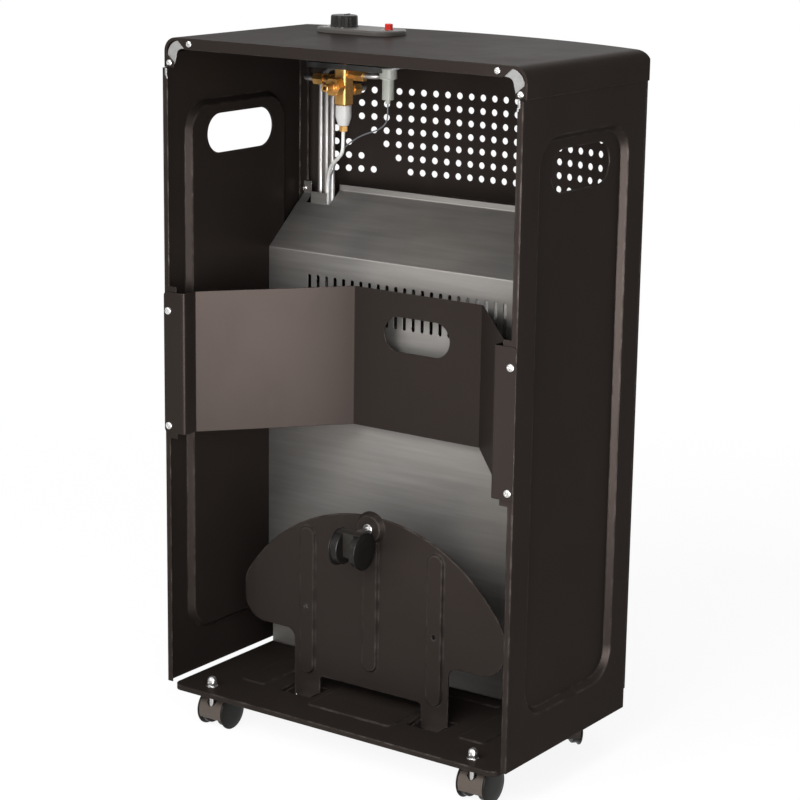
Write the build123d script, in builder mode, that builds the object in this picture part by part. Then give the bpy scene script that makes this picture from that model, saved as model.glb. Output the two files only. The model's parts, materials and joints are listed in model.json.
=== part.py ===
"""Portable gas cabinet heater.

A narrow sheet-metal cabinet on castors with an open back. The front carries a bowed vent
panel and a bowed radiant panel with three ceramic plaques behind a wire guard. Inside are
a bent heat shield, the gas valve with its tubes and leads, a strap that holds the gas bottle
and a half-moon platform that folds down behind the cabinet to carry the bottle.

Frame: +Z up, the front faces -Y, the open back faces +Y, the origin is on the floor under
the middle of the overall box. Sizes are in millimetres. Most of the model is laid out by
three readings: x across, depth from the side panels' rear edges towards the front, and
height above the base plate.
"""
import os
from math import asin, cos, degrees, pi, radians, sin, sqrt

from build123d import *

os.makedirs("parts", exist_ok=True)

# ---------------------------------------------------------------- driving dimensions
cabinet_width = 420.0
side_depth = 221.0  # side panel, rear edge to front seam
cabinet_height = 666.0  # base plate to the top of the cover
sheet = 1.0  # casing sheet
castor_height = 47.5  # floor to the top of the base plate
seat_gap = 0.3  # between curved faces of unlike pieces
pin_clearance = 0.1  # radial, a pin or tube in its hole

cover_skirt = 29.4  # how far the cover reaches down the sides
cover_edge_radius = 14.0
cover_corner_radius = 5.0
cover_inset = 4.0  # cover's rear edge ahead of the side panels' rear edges
cover_flange_drop = 10.0
cover_flange_width = 11.6
bow_radius = 542.0  # cover's front edge in plan
front_return = 4.0  # straight part of the front ahead of the seam
front_corner_radius = 5.0
panel_lap = 14.0  # panels reach this far up under the cover
flange_width = 12.0
hem_width = 6.0

recess_depth = 6.0  # pressed field of the side panel
recess_wall_angle = 42.0
recess_rear = 31.0
recess_front = side_depth - 30.0
recess_bottom = 43.0
recess_top = cabinet_height - 66.0
recess_corner = 32.0
handle_length = 105.0
handle_height = 40.0
handle_depth = 112.5
handle_level = cabinet_height - 101.0

base_thickness = 1.2
base_inset = 11.0
base_overhang = 4.0
base_rim = 5.5
base_corner = 10.0
base_front_lip = 30.0
pad_rise = 1.5

front_bottom = 20.0
radiant_top = 494.0  # joint between radiant panel and vent panel
opening_width = cabinet_width - 100.0
opening_bottom = 156.0
opening_top = 454.0
opening_corner = 18.0

vent_hole = 7.0
vent_pitch_across = 14.1
vent_pitch_down = 13.95
vent_columns = int((cabinet_width - 24) / vent_pitch_across)
vent_rows = 7
vent_top_row = cabinet_height - 66.8

shield_depth = 160.0
shield_ridge = 437.5
shield_slope_end = side_depth + 5.0  # depth of the sloping top's front fold
shield_slope_top = 493.5
shield_lip = 6.0
shield_foot = 14.0
shield_slot_pitch = 11.0
shield_slots = int((cabinet_width - 110) / shield_slot_pitch)
shield_slot_width = 4.0
shield_slot_length = 44.0
shield_slot_top = 414.3
notch_inner = cabinet_width / 2 - 50.5
notch_depth = side_depth - 11.5

strap_bottom = 268.0
strap_height = 145.0
strap_flange = 25.0
strap_step = 18.0
strap_centre_depth = 144.0
strap_centre_half = 78.0
strap_hole_length = 80.0
strap_hole_height = 36.0
strap_hole_level = 370.0
strap_bend = 3.0
strap_screw_levels = (275.2, 393.9)
strap_screw_inset = 6.5

platform_depth = 69.0  # rear face of the upright platform
platform_thickness = 1.2
platform_radius = cabinet_width / 2 - 23.0
platform_centre = 13.0
platform_half = cabinet_width / 2 - 49.0
platform_shoulder = 61.5
platform_corner = 26.0
platform_apron = 17.0  # lower edge between the legs
leg_inner = 63.0
leg_outer = 96.0
leg_middle = 79.0
leg_root_radius = 10.0
rib_rise = 3.0
rib_width = 20.0
rib_wall_angle = 30.0
leg_rib_top = 176.0
centre_rib_bottom = 35.5
castor_level = 188.0  # platform castor's stem
hinge_depth = 57.0
hinge_level = -7.0
hinge_pin_diameter = 4.0
ear_radius = 5.5
slot_margin = 3.5  # base slot beyond the leg at each side
slot_rear = 48.0
slot_front = 80.0

wheel_diameter = 38.0
wheel_width = 10.0
wheel_chamfer = 2.0
wheel_gap = 14.0
castor_trail = 14.0
castor_x = cabinet_width / 2 - 48.0
castor_rear_depth = 14.5
castor_front_depth = side_depth - 31.0
stem_diameter = 8.0
stem_length = 26.0
axle_diameter = 4.0
axle_grip = 6.0
fender_clearance = 1.2
fender_thickness = 1.5
nut_width = 10.0

control_x = cabinet_width / 2 - 92.5  # valve and knob axis
button_x = control_x - 55.5
control_depth = side_depth - 46.0
bezel_x = control_x - 22.5
bezel_length = 95.0
bezel_width = 49.0
bezel_height = 5.0
bezel_corner = 20.0
knob_diameter = 28.0
knob_height = 13.0
knob_travel = 3.0
spindle_diameter = 6.0
button_diameter = 8.0
button_rise = 6.0
button_travel = 4.0

gusset_screw_insets = ((31.5, 5.5), (6.5, 25.0))  # in from the side, down from the top
cover_hole_margin = 1.0
screw_diameter = 3.2
screw_hole = 3.6
tab_screw_inset = 10.0
shank_diameter = 6.0
web_clearance = 0.5
stem_clearance = 0.05
stem_collar_radius = 7.0
fender_width = 32.0
nut_depth = 5.0
front_left_turn = 47.0
shield_narrow_half = cabinet_width / 2 - 14.0
flap_inner = notch_inner + 4.5
flap_outer = flap_inner + 21.0
flap_height = 12.0
tab_inner = cabinet_width / 2 - 18.5
tab_outer = tab_inner + 10.0
tab_height = 13.0
plaque_height = 132.0
plaque_thickness = 12.0
plaque_gap = 4.0
plaque_level = 262.0
reflector_margin = 13.0
reflector_bottom = opening_bottom - 6.0
reflector_top = opening_top + 6.0
knob_margin = 0.7
knob_crown = 3.0
knob_flutes = 12
valve_top = cabinet_height - 32.2
spindle_seat = 20.0
bracket_sheet = 1.2
valve_neck = 10.0
piezo_neck = 13.0

# ---------------------------------------------------------------- worked-out dimensions
half_width = cabinet_width / 2
side_x = half_width - sheet  # outer face of a side panel
cover_bottom = cabinet_height - cover_skirt
panel_top = cover_bottom + panel_lap
panel_bow = bow_radius - sheet - seat_gap  # outer radius of the front panels
front_edge = side_depth + front_return  # depth where the bow meets the side
bow_axis = front_edge - sqrt(panel_bow**2 - side_x**2)  # depth of the bow's axis
front_depth = bow_axis + panel_bow  # front of the bow
shield_half = side_x - sheet - recess_depth
strap_screw_x = side_x + sheet - strap_screw_inset
guard_wire = 3.0
guard_frame_wire = 5.0
guard_standoff = 12.0
guard_front = front_depth + guard_standoff
rear_y = (guard_front - base_overhang) / 2
base_top = castor_height
gusset_screws = [(half_width - x, cabinet_height - z) for x, z in gusset_screw_insets]
tab_screw_x = half_width - tab_screw_inset
burner_half = half_width - 60.0
burner_front = side_depth + 1.0
burner_rear = burner_front - 36.0
plaque_pitch = (2 * burner_half - 12.0) / 3
plaque_width = plaque_pitch - plaque_gap
reflector_half = burner_half + reflector_margin
slope_rise = (shield_slope_top - shield_ridge) / (shield_slope_end - shield_depth)
tab_depth = side_depth - 2 * sheet
tab_screw_level = shield_ridge + (tab_depth - shield_depth) * slope_rise + 5.4


def level(height):
    """Level plane at a height above the base plate. Its points are (x, -depth)."""
    return Plane(origin=(0, rear_y, base_top + height), x_dir=(1, 0, 0), z_dir=(0, 0, 1))


def upright(depth):
    """Upright plane across the cabinet, its normal to the front. Its points are (x, height)."""
    return Plane(origin=(0, rear_y - depth, base_top), x_dir=(1, 0, 0), z_dir=(0, -1, 0))


def side_on(x):
    """Upright plane along the cabinet, its normal to -X. Its points are (depth, height)."""
    return Plane(origin=(x, rear_y, base_top), x_dir=(0, -1, 0), z_dir=(-1, 0, 0))


def place(x, depth, height):
    """Point in the model's frame from x, depth and height."""
    return (x, rear_y - depth, base_top + height)


def bow_depth(radius, x):
    """Depth of a bow of the given radius at x."""
    return bow_axis + sqrt(radius**2 - x**2)


def finish(builder, name):
    """Label a finished piece and write it."""
    builder.part.label = name
    export_step(builder.part, f"parts/{name}.step")


def bowed_face(half, rear, radius, corner):
    """Plan of a body with a straight rear edge and a bowed front with rounded corners."""
    edge = bow_depth(radius, half)
    with BuildSketch() as plan:
        with BuildLine():
            Line((-half, -rear), (half, -rear))
            Line((half, -rear), (half, -edge))
            ThreePointArc((half, -edge), (0, -bow_depth(radius, 0)), (-half, -edge))
            Line((-half, -edge), (-half, -rear))
        make_face()
        if corner > 0:
            fillet(plan.vertices().group_by(Axis.Y)[0], radius=corner)
    return plan.sketch_local


def arched_face(half, bottom, top, corner):
    """Rear view of the cover: straight sides and rounded upper corners."""
    with BuildSketch() as view:
        with Locations((0, bottom)):
            Rectangle(2 * half, top - bottom, align=(Align.CENTER, Align.MIN))
        fillet(view.vertices().group_by(Axis.Y)[-1], radius=corner)
    return view.sketch_local


def bent_sheet(points, bend, thickness, side):
    """Section of a sheet bent along a path, its thickness laid to one side of the path."""
    with BuildSketch() as section:
        with BuildLine():
            FilletPolyline(*points, radius=bend)
            offset(amount=thickness, side=side)
        make_face()
    return section.sketch_local


def hexagon(width):
    """Nut outline with the given width across its flats."""
    return RegularPolygon(width / 2, 6, major_radius=False)


# ---------------------------------------------------------------- side panels
hem_tab = 15.0  # wider hem behind the strap's screws
tab_margin = 6.0
recess_span = recess_front - recess_rear
recess_rise = recess_top - recess_bottom
recess_place = ((recess_rear + recess_front) / 2, (recess_bottom + recess_top) / 2)

with BuildPart() as side_panel_right:
    with BuildSketch(side_on(side_x)):
        with BuildLine():
            Polyline(
                (0, 0),
                (side_depth, 0),
                (side_depth, panel_top),
                (cover_inset + 3 * sheet, panel_top),
                (cover_inset + 3 * sheet, cover_bottom - seat_gap),
                (0, cover_bottom - seat_gap),
                (0, 0),
            )
        make_face()
    extrude(amount=sheet)
    # rear hem with a wider tab for the strap's screws, and the front flange
    with BuildSketch(upright(0)):
        with Locations((side_x, 0)):
            Rectangle(hem_width, cover_bottom - seat_gap, align=(Align.MAX, Align.MIN))
        with Locations((side_x, strap_bottom - tab_margin)):
            Rectangle(hem_tab, strap_height + 2 * tab_margin, align=(Align.MAX, Align.MIN))
    extrude(amount=sheet)
    with BuildSketch(upright(side_depth - sheet)):
        with Locations((side_x, front_bottom)):
            Rectangle(flange_width, cover_bottom - front_bottom, align=(Align.MAX, Align.MIN))
    extrude(amount=sheet)
    # pressed field: its back stands proud inside by the same depth as its front is sunk
    with BuildSketch(side_on(side_x - sheet)):
        with Locations(recess_place):
            RectangleRounded(recess_span, recess_rise, recess_corner)
    extrude(amount=recess_depth, taper=recess_wall_angle)
    with BuildSketch(side_on(side_x)):
        with Locations(recess_place):
            RectangleRounded(recess_span, recess_rise, recess_corner)
    extrude(amount=recess_depth, taper=recess_wall_angle, mode=Mode.SUBTRACT)
    with BuildSketch(side_on(side_x)):
        with Locations((handle_depth, handle_level)):
            SlotOverall(handle_length, handle_height)
    extrude(amount=recess_depth + 2 * sheet, mode=Mode.SUBTRACT)
    with BuildSketch(upright(0)):
        with Locations(*[(strap_screw_x, z) for z in strap_screw_levels]):
            Circle(screw_hole / 2)
    extrude(amount=2 * sheet, mode=Mode.SUBTRACT)
    with BuildSketch(upright(side_depth - 2 * sheet)):
        with Locations((tab_screw_x, tab_screw_level)):
            Circle(screw_hole / 2)
    extrude(amount=3 * sheet, mode=Mode.SUBTRACT)
finish(side_panel_right, "side_panel_right")

with BuildPart() as side_panel_left:
    mirror(side_panel_right.part, about=Plane.YZ)
finish(side_panel_left, "side_panel_left")

# ---------------------------------------------------------------- top cover
def cover_form(inset):
    """Bowed plan cut to the rounded rear view and to the rounded front edge."""
    crown = cabinet_height - inset
    edge = cover_edge_radius - inset
    front = bow_radius - inset
    with BuildPart() as form:
        with BuildSketch(level(cover_bottom)):
            add(bowed_face(half_width - inset, cover_inset, front, cover_corner_radius - inset))
        extrude(amount=cover_skirt - inset)
        with BuildSketch(upright(cover_inset)):
            add(arched_face(half_width - inset, cover_bottom, crown, edge))
        extrude(amount=2 * side_depth, mode=Mode.INTERSECT)
        # front edge rounded about the bow's axis
        with BuildSketch(side_on(0)):
            with BuildLine():
                Line((bow_axis, cover_bottom), (bow_axis + front, cover_bottom))
                Line((bow_axis + front, cover_bottom), (bow_axis + front, crown - edge))
                RadiusArc((bow_axis + front, crown - edge), (bow_axis + front - edge, crown), -edge)
                Line((bow_axis + front - edge, crown), (bow_axis, crown))
                Line((bow_axis, crown), (bow_axis, cover_bottom))
            make_face()
        revolve(axis=Axis(place(0, bow_axis, 0), (0, 0, 1)), mode=Mode.INTERSECT)
    return form.part


def corner(inward, down):
    """Point (x, height) measured from the cover's upper right corner."""
    return (half_width - inward, cabinet_height - down)


cover_outside = cover_form(0)
cover_inside = cover_form(sheet)
flange_inner_half = half_width - cover_flange_width
flange_inner_top = cabinet_height - sheet - cover_flange_drop

with BuildPart() as top_cover:
    add(cover_outside)
    add(cover_inside, mode=Mode.SUBTRACT)
    # rear flange, cut away at the corners where the gussets show
    with BuildSketch(upright(cover_inset)):
        add(arched_face(half_width, cover_bottom, cabinet_height, cover_edge_radius))
        add(
            arched_face(flange_inner_half, cover_bottom, flange_inner_top, 4.0),
            mode=Mode.SUBTRACT,
        )
        with BuildSketch(mode=Mode.SUBTRACT) as window:
            with BuildLine():
                Line(corner(27, 12), corner(17, 3))
                ThreePointArc(corner(17, 3), corner(6.4, 6.4), corner(3, 17))
                Line(corner(3, 17), corner(12.5, 25))
                Line(corner(12.5, 25), corner(27, 12))
            make_face()
            mirror(about=Plane.YZ)
        for hand in (1, -1):
            with Locations(*[(hand * x, z) for x, z in gusset_screws]):
                Circle(screw_hole / 2, mode=Mode.SUBTRACT)
    extrude(amount=sheet)
    # holes for the valve spindle and the igniter's button
    with BuildSketch(level(cabinet_height)):
        with Locations((control_x, -control_depth)):
            Circle(spindle_diameter / 2 + cover_hole_margin)
        with Locations((button_x, -control_depth)):
            Circle(button_diameter / 2 + cover_hole_margin)
    extrude(amount=-2 * sheet, mode=Mode.SUBTRACT)
finish(top_cover, "top_cover")

with BuildPart() as corner_gussets:
    with BuildSketch(upright(cover_inset + sheet)):
        with BuildLine():
            Polyline(corner(40, 9.5), corner(40, 1.5), corner(15, 1.5))
            RadiusArc(corner(15, 1.5), corner(1.5, 15), cover_edge_radius - 0.5)
            Polyline(corner(1.5, 15), corner(1.5, 28), corner(3.5, 31), corner(3.5, 39))
            Polyline(corner(3.5, 39), corner(7.5, 39), corner(14, 25), corner(40, 9.5))
        make_face()
        with Locations(*gusset_screws):
            Circle(screw_hole / 2, mode=Mode.SUBTRACT)
        mirror(about=Plane.YZ)
    extrude(amount=sheet)
finish(corner_gussets, "corner_gussets")

with BuildPart() as cover_screws:
    for hand in (1, -1):
        for x, height in gusset_screws:
            with BuildSketch(upright(cover_inset)):
                with Locations((hand * x, height)):
                    Circle(3.3)
            extrude(amount=-1.9)
            with BuildSketch(upright(cover_inset)):
                with Locations((hand * x, height)):
                    Circle(screw_diameter / 2)
            extrude(amount=2.6)
    heads = cover_screws.faces().filter_by(GeomType.PLANE).group_by(Axis.Y)[-1]
    fillet(heads.edges(), radius=0.8)
finish(cover_screws, "cover_screws")

# ---------------------------------------------------------------- front panels
vent_angle = vent_pitch_across / panel_bow


def front_section():
    """Plan of the bowed front sheet with its side walls and its inward rear flanges."""
    with BuildSketch() as plan:
        add(bowed_face(side_x, side_depth, panel_bow, front_corner_radius))
        inner = panel_bow - sheet
        inner_corner = front_corner_radius - sheet
        add(bowed_face(side_x - sheet, side_depth, inner, inner_corner), mode=Mode.SUBTRACT)
        for hand in (1, -1):
            with Locations((hand * (side_x - flange_width / 2), -side_depth)):
                Rectangle(flange_width, sheet, align=(Align.CENTER, Align.MAX))
    return plan.sketch_local


def bow_plane(angle):
    """Plane touching the front panels at an angle from the middle. Its points are (arc, height)."""
    outward = (sin(angle), -cos(angle), 0)
    along = (cos(angle), sin(angle), 0)
    depth = bow_axis + panel_bow * cos(angle)
    return Plane(origin=place(panel_bow * sin(angle), depth, 0), x_dir=along, z_dir=outward)


with BuildPart() as front_vent_panel:
    with BuildSketch(level(radiant_top)):
        add(front_section())
    extrude(amount=panel_top - radiant_top)
    # rows of round vents, cut square to the bow; each row leaves out two holes, stepping sideways
    for column in range(vent_columns):
        angle = ((vent_columns - 1) / 2 - column) * vent_angle
        rows = [row for row in range(vent_rows) if column not in (row - 1, row)]
        with BuildSketch(bow_plane(angle)):
            with Locations(*[(0, vent_top_row - row * vent_pitch_down) for row in rows]):
                Circle(vent_hole / 2)
        extrude(amount=-2 * sheet, both=True, mode=Mode.SUBTRACT)
finish(front_vent_panel, "front_vent_panel")

guard_radius = front_depth - bow_axis + guard_standoff - guard_frame_wire / 2
guard_half = opening_width / 2 + 12.0
guard_bottom = opening_bottom - 14.0
guard_top = opening_top + 14.0
guard_hook_levels = (guard_bottom, guard_top)
guard_rows = 6
guard_steps = 8
weld_gap = 0.05  # between the bowed wires and the uprights behind them

with BuildPart() as front_panel:
    with BuildSketch(level(front_bottom)):
        add(front_section())
    extrude(amount=radiant_top - front_bottom)
    with BuildSketch(upright(side_depth + 2 * sheet)) as mouth:
        with Locations((0, (opening_bottom + opening_top) / 2)):
            RectangleRounded(opening_width, opening_top - opening_bottom, opening_corner)
        for hand in (1, -1):
            with Locations(*[(hand * guard_half, z) for z in guard_hook_levels]):
                Circle(guard_frame_wire / 2 + seat_gap)
    extrude(amount=side_depth, mode=Mode.SUBTRACT)
finish(front_panel, "front_panel")

guard_half_angle = asin(guard_half / guard_radius)
guard_end_depth = bow_depth(guard_radius, guard_half)


def bowed_wires(levels, diameter, half_angle):
    """Wires bent to the guard's bow, one at each height."""
    start = Plane(
        origin=place(0, bow_axis, 0),
        x_dir=(-sin(half_angle), -cos(half_angle), 0),
        z_dir=(-cos(half_angle), sin(half_angle), 0),
    )
    with BuildPart() as wires:
        with BuildSketch(start):
            with Locations(*[(guard_radius, height) for height in levels]):
                Circle(diameter / 2)
        revolve(axis=Axis(place(0, bow_axis, 0), (0, 0, 1)), revolution_arc=2 * degrees(half_angle))
    return wires.part


with BuildPart() as front_guard:
    # the frame: two bowed wires, two end uprights, and hooks that reach through the panel
    add(bowed_wires(guard_hook_levels, guard_frame_wire, guard_half_angle))
    for hand in (1, -1):
        with BuildSketch(level(guard_bottom)):
            with Locations((hand * guard_half, -guard_end_depth)):
                Circle(guard_frame_wire / 2)
        extrude(amount=guard_top - guard_bottom)
        hook_rear = bow_depth(panel_bow, guard_half) - 6
        with BuildSketch(upright(hook_rear)):
            with Locations(*[(hand * guard_half, z) for z in guard_hook_levels]):
                Circle(guard_frame_wire / 2)
        extrude(amount=guard_end_depth - hook_rear)
        with Locations(*[place(hand * guard_half, guard_end_depth, z) for z in guard_hook_levels]):
            Sphere(guard_frame_wire / 2)
finish(front_guard, "front_guard")

row_pitch = (guard_top - guard_bottom) / guard_rows
bow_reach = (guard_frame_wire / 2 + weld_gap) / guard_radius
with BuildPart() as guard_bows:
    rows = [guard_bottom + row_pitch * row for row in range(1, guard_rows)]
    add(bowed_wires(rows, guard_wire, guard_half_angle - bow_reach))
finish(guard_bows, "guard_bows")

with BuildPart() as guard_uprights:
    # straight wires behind the bowed ones, ending behind the frame's two bowed wires
    back_radius = guard_radius - guard_wire - weld_gap
    overlap = guard_frame_wire / 2
    for step in range(1 - guard_steps, guard_steps):
        angle = step * guard_half_angle / guard_steps
        x = back_radius * sin(angle)
        with BuildSketch(level(guard_bottom + overlap + weld_gap)):
            with Locations((x, -bow_depth(back_radius, x))):
                Circle(guard_wire / 2)
        extrude(amount=guard_top - guard_bottom - 2 * (overlap + weld_gap))
finish(guard_uprights, "guard_uprights")

# ---------------------------------------------------------------- base plate
base_half = half_width - base_inset
base_bow = panel_bow - sheet - seat_gap
slot_inner = leg_inner - slot_margin
slot_outer = leg_outer + slot_margin
slot_places = [hand * (slot_inner + slot_outer) / 2 for hand in (1, -1)]
castor_points = [
    (castor_x, castor_rear_depth),
    (-castor_x, castor_rear_depth),
    (castor_x, castor_front_depth),
    (-castor_x, castor_front_depth),
]
pads = (
    ((136.0, 86.5), (32.0, 77.0)),
    ((-136.0, 86.5), (32.0, 77.0)),
    ((0.0, 62.5), (104.0, 65.0)),
    ((0.0, 144.5), (220.0, 11.0)),
)


def base_face(inset):
    """Plan of the base, its rear corners rounded, drawn in from its edge by an inset."""
    with BuildSketch() as plan:
        add(bowed_face(base_half - inset, inset - base_overhang, base_bow - inset, 0))
        fillet(plan.vertices().group_by(Axis.Y)[-1], radius=base_corner - inset)
    return plan.sketch_local


with BuildPart() as base_plate:
    with BuildSketch(level(-base_thickness)):
        add(base_face(0))
    extrude(amount=base_thickness)
    # down-turned rim along the sides and the rear
    with BuildSketch(level(-base_rim)):
        add(base_face(0))
        add(base_face(base_thickness), mode=Mode.SUBTRACT)
        with Locations((0, -castor_front_depth - 20)):
            Rectangle(cabinet_width, side_depth, align=(Align.CENTER, Align.MAX), mode=Mode.SUBTRACT)
    extrude(amount=base_rim)
    # up-turned lip behind the bowed front
    with BuildSketch(level(-base_thickness)):
        add(bowed_face(base_half, side_depth, base_bow, 0))
        add(bowed_face(base_half + 1, 0, base_bow - base_thickness, 0), mode=Mode.SUBTRACT)
    extrude(amount=base_front_lip + base_thickness)
    # pressed pads
    for (x, depth), (across, along) in pads:
        with BuildSketch(level(0)):
            with Locations((x, -depth)):
                RectangleRounded(across, along, 5)
        extrude(amount=pad_rise, taper=45)
        with BuildSketch(level(-base_thickness)):
            with Locations((x, -depth)):
                RectangleRounded(across, along, 5)
        extrude(amount=pad_rise, taper=45, mode=Mode.SUBTRACT)
    # slots for the platform's legs, holes for the castor stems
    with BuildSketch(level(pad_rise)):
        with Locations(*[(x, -(slot_rear + slot_front) / 2) for x in slot_places]):
            RectangleRounded(slot_outer - slot_inner, slot_front - slot_rear, 3)
        with Locations(*[(x, -depth) for x, depth in castor_points]):
            Circle(shank_diameter / 2 + pin_clearance)
    extrude(amount=-2 * pad_rise - base_thickness, mode=Mode.SUBTRACT)
finish(base_plate, "base_plate")

lug_length = 18.0
lug_radius = 7.0
with BuildPart() as hinge_lugs:
    # two lugs under the base at each slot, which hold the platform's hinge pins
    for hand in (1, -1):
        for x in (slot_inner, slot_outer + base_thickness):
            inner = x if hand == 1 else -x + base_thickness
            with BuildSketch(side_on(inner)):
                with Locations((hinge_depth, -base_thickness)):
                    Rectangle(
                        lug_length,
                        -hinge_level - base_thickness,
                        align=(Align.CENTER, Align.MAX),
                    )
                with Locations((hinge_depth, hinge_level)):
                    Circle(lug_radius)
                    Circle(hinge_pin_diameter / 2 + pin_clearance, mode=Mode.SUBTRACT)
                # nothing of the lug's round end stands above the base's underside
                with Locations((hinge_depth, -base_thickness)):
                    Rectangle(
                        lug_length,
                        2 * lug_radius,
                        align=(Align.CENTER, Align.MIN),
                        mode=Mode.SUBTRACT,
                    )
            extrude(amount=base_thickness)
finish(hinge_lugs, "hinge_lugs")

with BuildPart() as hinge_pins:
    pin_reach = base_thickness + 1.5
    for hand in (1, -1):
        outer = slot_outer + base_thickness
        start = outer + 1.5 if hand == 1 else -(slot_inner - pin_reach)
        with BuildSketch(side_on(start)):
            with Locations((hinge_depth, hinge_level)):
                Circle(hinge_pin_diameter / 2)
        extrude(amount=outer - slot_inner + pin_reach + 1.5)
        head_plane = side_on(outer + 1.5) if hand == 1 else side_on(-outer)
        with BuildSketch(head_plane):
            with Locations((hinge_depth, hinge_level)):
                Circle(3.5)
        extrude(amount=1.5)
finish(hinge_pins, "hinge_pins")

# ---------------------------------------------------------------- bottle platform
castor_drop = castor_height - base_thickness  # mounting face to floor
fold_castor_gap = 0.4  # folded platform's castor above the floor
boss_depth = hinge_depth - hinge_level + castor_drop + fold_castor_gap - castor_height
boss_radius = 13.0


def near(value):
    """Selector for vertices whose distance from the middle plane is the value."""
    return lambda vertex: abs(abs(vertex.X) - value) < 0.05


with BuildPart() as bottle_platform:
    with BuildSketch(upright(platform_depth)) as outline:
        with Locations((0, platform_centre)):
            Circle(platform_radius)
        with Locations((0, platform_shoulder)):
            Rectangle(
                2 * platform_half,
                2 * platform_radius,
                align=(Align.CENTER, Align.MIN),
                mode=Mode.INTERSECT,
            )
        with Locations((0, platform_apron)):
            Rectangle(
                2 * leg_outer,
                platform_shoulder - platform_apron + 1,
                align=(Align.CENTER, Align.MIN),
            )
        for hand in (1, -1):
            with Locations((hand * (leg_inner + leg_outer) / 2, hinge_level - ear_radius)):
                Rectangle(
                    leg_outer - leg_inner,
                    platform_shoulder - hinge_level,
                    align=(Align.CENTER, Align.MIN),
                )
        shoulders = outline.vertices().filter_by(near(platform_half))
        fillet(shoulders.group_by(Axis.Z)[0], radius=platform_corner)
        roots = outline.vertices().filter_by(near(leg_outer))
        fillet(roots.group_by(Axis.Z)[-1], radius=leg_root_radius)
        crotch = outline.vertices().filter_by(near(leg_inner))
        fillet(crotch.group_by(Axis.Z)[-1], radius=4)
    extrude(amount=platform_thickness)
    # ribs pressed out to the rear: one in the middle up to the boss, one on each leg
    rib_places = [
        (0, centre_rib_bottom, castor_level),
        (leg_middle, platform_apron, leg_rib_top),
        (-leg_middle, platform_apron, leg_rib_top),
    ]
    for x, low, high in rib_places:
        with BuildSketch(upright(platform_depth)):
            with Locations((x, (low + high) / 2)):
                SlotOverall(high - low, rib_width, rotation=90)
        extrude(amount=-rib_rise, taper=rib_wall_angle)
        with BuildSketch(upright(platform_depth + platform_thickness)):
            with Locations((x, (low + high) / 2)):
                SlotOverall(high - low, rib_width, rotation=90)
        extrude(amount=-rib_rise, taper=rib_wall_angle, mode=Mode.SUBTRACT)
    # boss that brings the castor's seat to the height it has when the platform is folded down
    boss_rise = platform_depth - boss_depth
    with BuildSketch(upright(platform_depth)):
        with Locations((0, castor_level)):
            Circle(boss_radius + 4)
    extrude(amount=-boss_rise, taper=rib_wall_angle)
    with BuildSketch(upright(platform_depth + platform_thickness)):
        with Locations((0, castor_level)):
            Circle(boss_radius + 4)
    extrude(amount=-boss_rise, taper=rib_wall_angle, mode=Mode.SUBTRACT)
    # ears bent to the rear at the foot of each leg
    for hand in (1, -1):
        for x in (leg_inner, leg_outer - platform_thickness):
            start = x + platform_thickness if hand == 1 else -x
            with BuildSketch(side_on(start)):
                ear_front = platform_depth + platform_thickness
                with Locations(((hinge_depth + ear_front) / 2, hinge_level)):
                    Rectangle(ear_front - hinge_depth, 2 * ear_radius)
                with Locations((hinge_depth, hinge_level)):
                    Circle(ear_radius)
                    Circle(hinge_pin_diameter / 2 + pin_clearance, mode=Mode.SUBTRACT)
            extrude(amount=platform_thickness)
    # holes above the legs and for the castor's stem
    with BuildSketch(upright(boss_depth - 1)):
        with Locations((leg_middle, 90), (-leg_middle, 90)):
            Circle(2.5)
        with Locations((0, castor_level)):
            Circle(shank_diameter / 2 + pin_clearance)
    extrude(amount=2 * boss_rise + platform_thickness, mode=Mode.SUBTRACT)
finish(bottle_platform, "bottle_platform")

# ---------------------------------------------------------------- castors
# each castor is laid out with its stem on Z, its seat at Z 0 and its wheels trailing along +X
wheel_radius = wheel_diameter / 2
axle_z = wheel_radius - castor_drop
web_width = wheel_gap - 2 * web_clearance
hub_top = -13.0
hub_bottom = axle_z - 7.0

with BuildPart() as hood_form:
    with BuildSketch(Plane.XZ):
        with Locations((castor_trail, axle_z)):
            Circle(8.5)
        with Locations((castor_trail / 2, (hub_top + hub_bottom) / 2)):
            Rectangle(castor_trail, hub_top - hub_bottom)
    extrude(amount=web_width / 2, both=True)
    with BuildSketch(Plane.XY.offset(hub_top)):
        Circle(web_width / 2)
    extrude(amount=hub_bottom - hub_top)
    # fender over the wheels' upper back
    with BuildSketch(Plane.XZ):
        with Locations((castor_trail, axle_z)):
            Circle(wheel_radius + fender_clearance + fender_thickness)
            Circle(wheel_radius + fender_clearance, mode=Mode.SUBTRACT)
        with BuildLine():
            Polyline(
                (castor_trail, axle_z),
                (castor_trail + 8, axle_z + 30),
                (castor_trail - 30, axle_z + 30),
                (castor_trail - 30, axle_z - 3),
                (castor_trail, axle_z),
            )
        make_face(mode=Mode.INTERSECT)
    extrude(amount=fender_width / 2, both=True)
    with BuildSketch(Plane.XY):
        Circle(stem_diameter / 2 + stem_clearance)
    extrude(amount=-stem_length - 0.5, mode=Mode.SUBTRACT)
    with BuildSketch(Plane.XZ):
        with Locations((castor_trail, axle_z)):
            Circle(axle_diameter / 2 + stem_clearance)
    extrude(amount=wheel_gap, both=True, mode=Mode.SUBTRACT)

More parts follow.
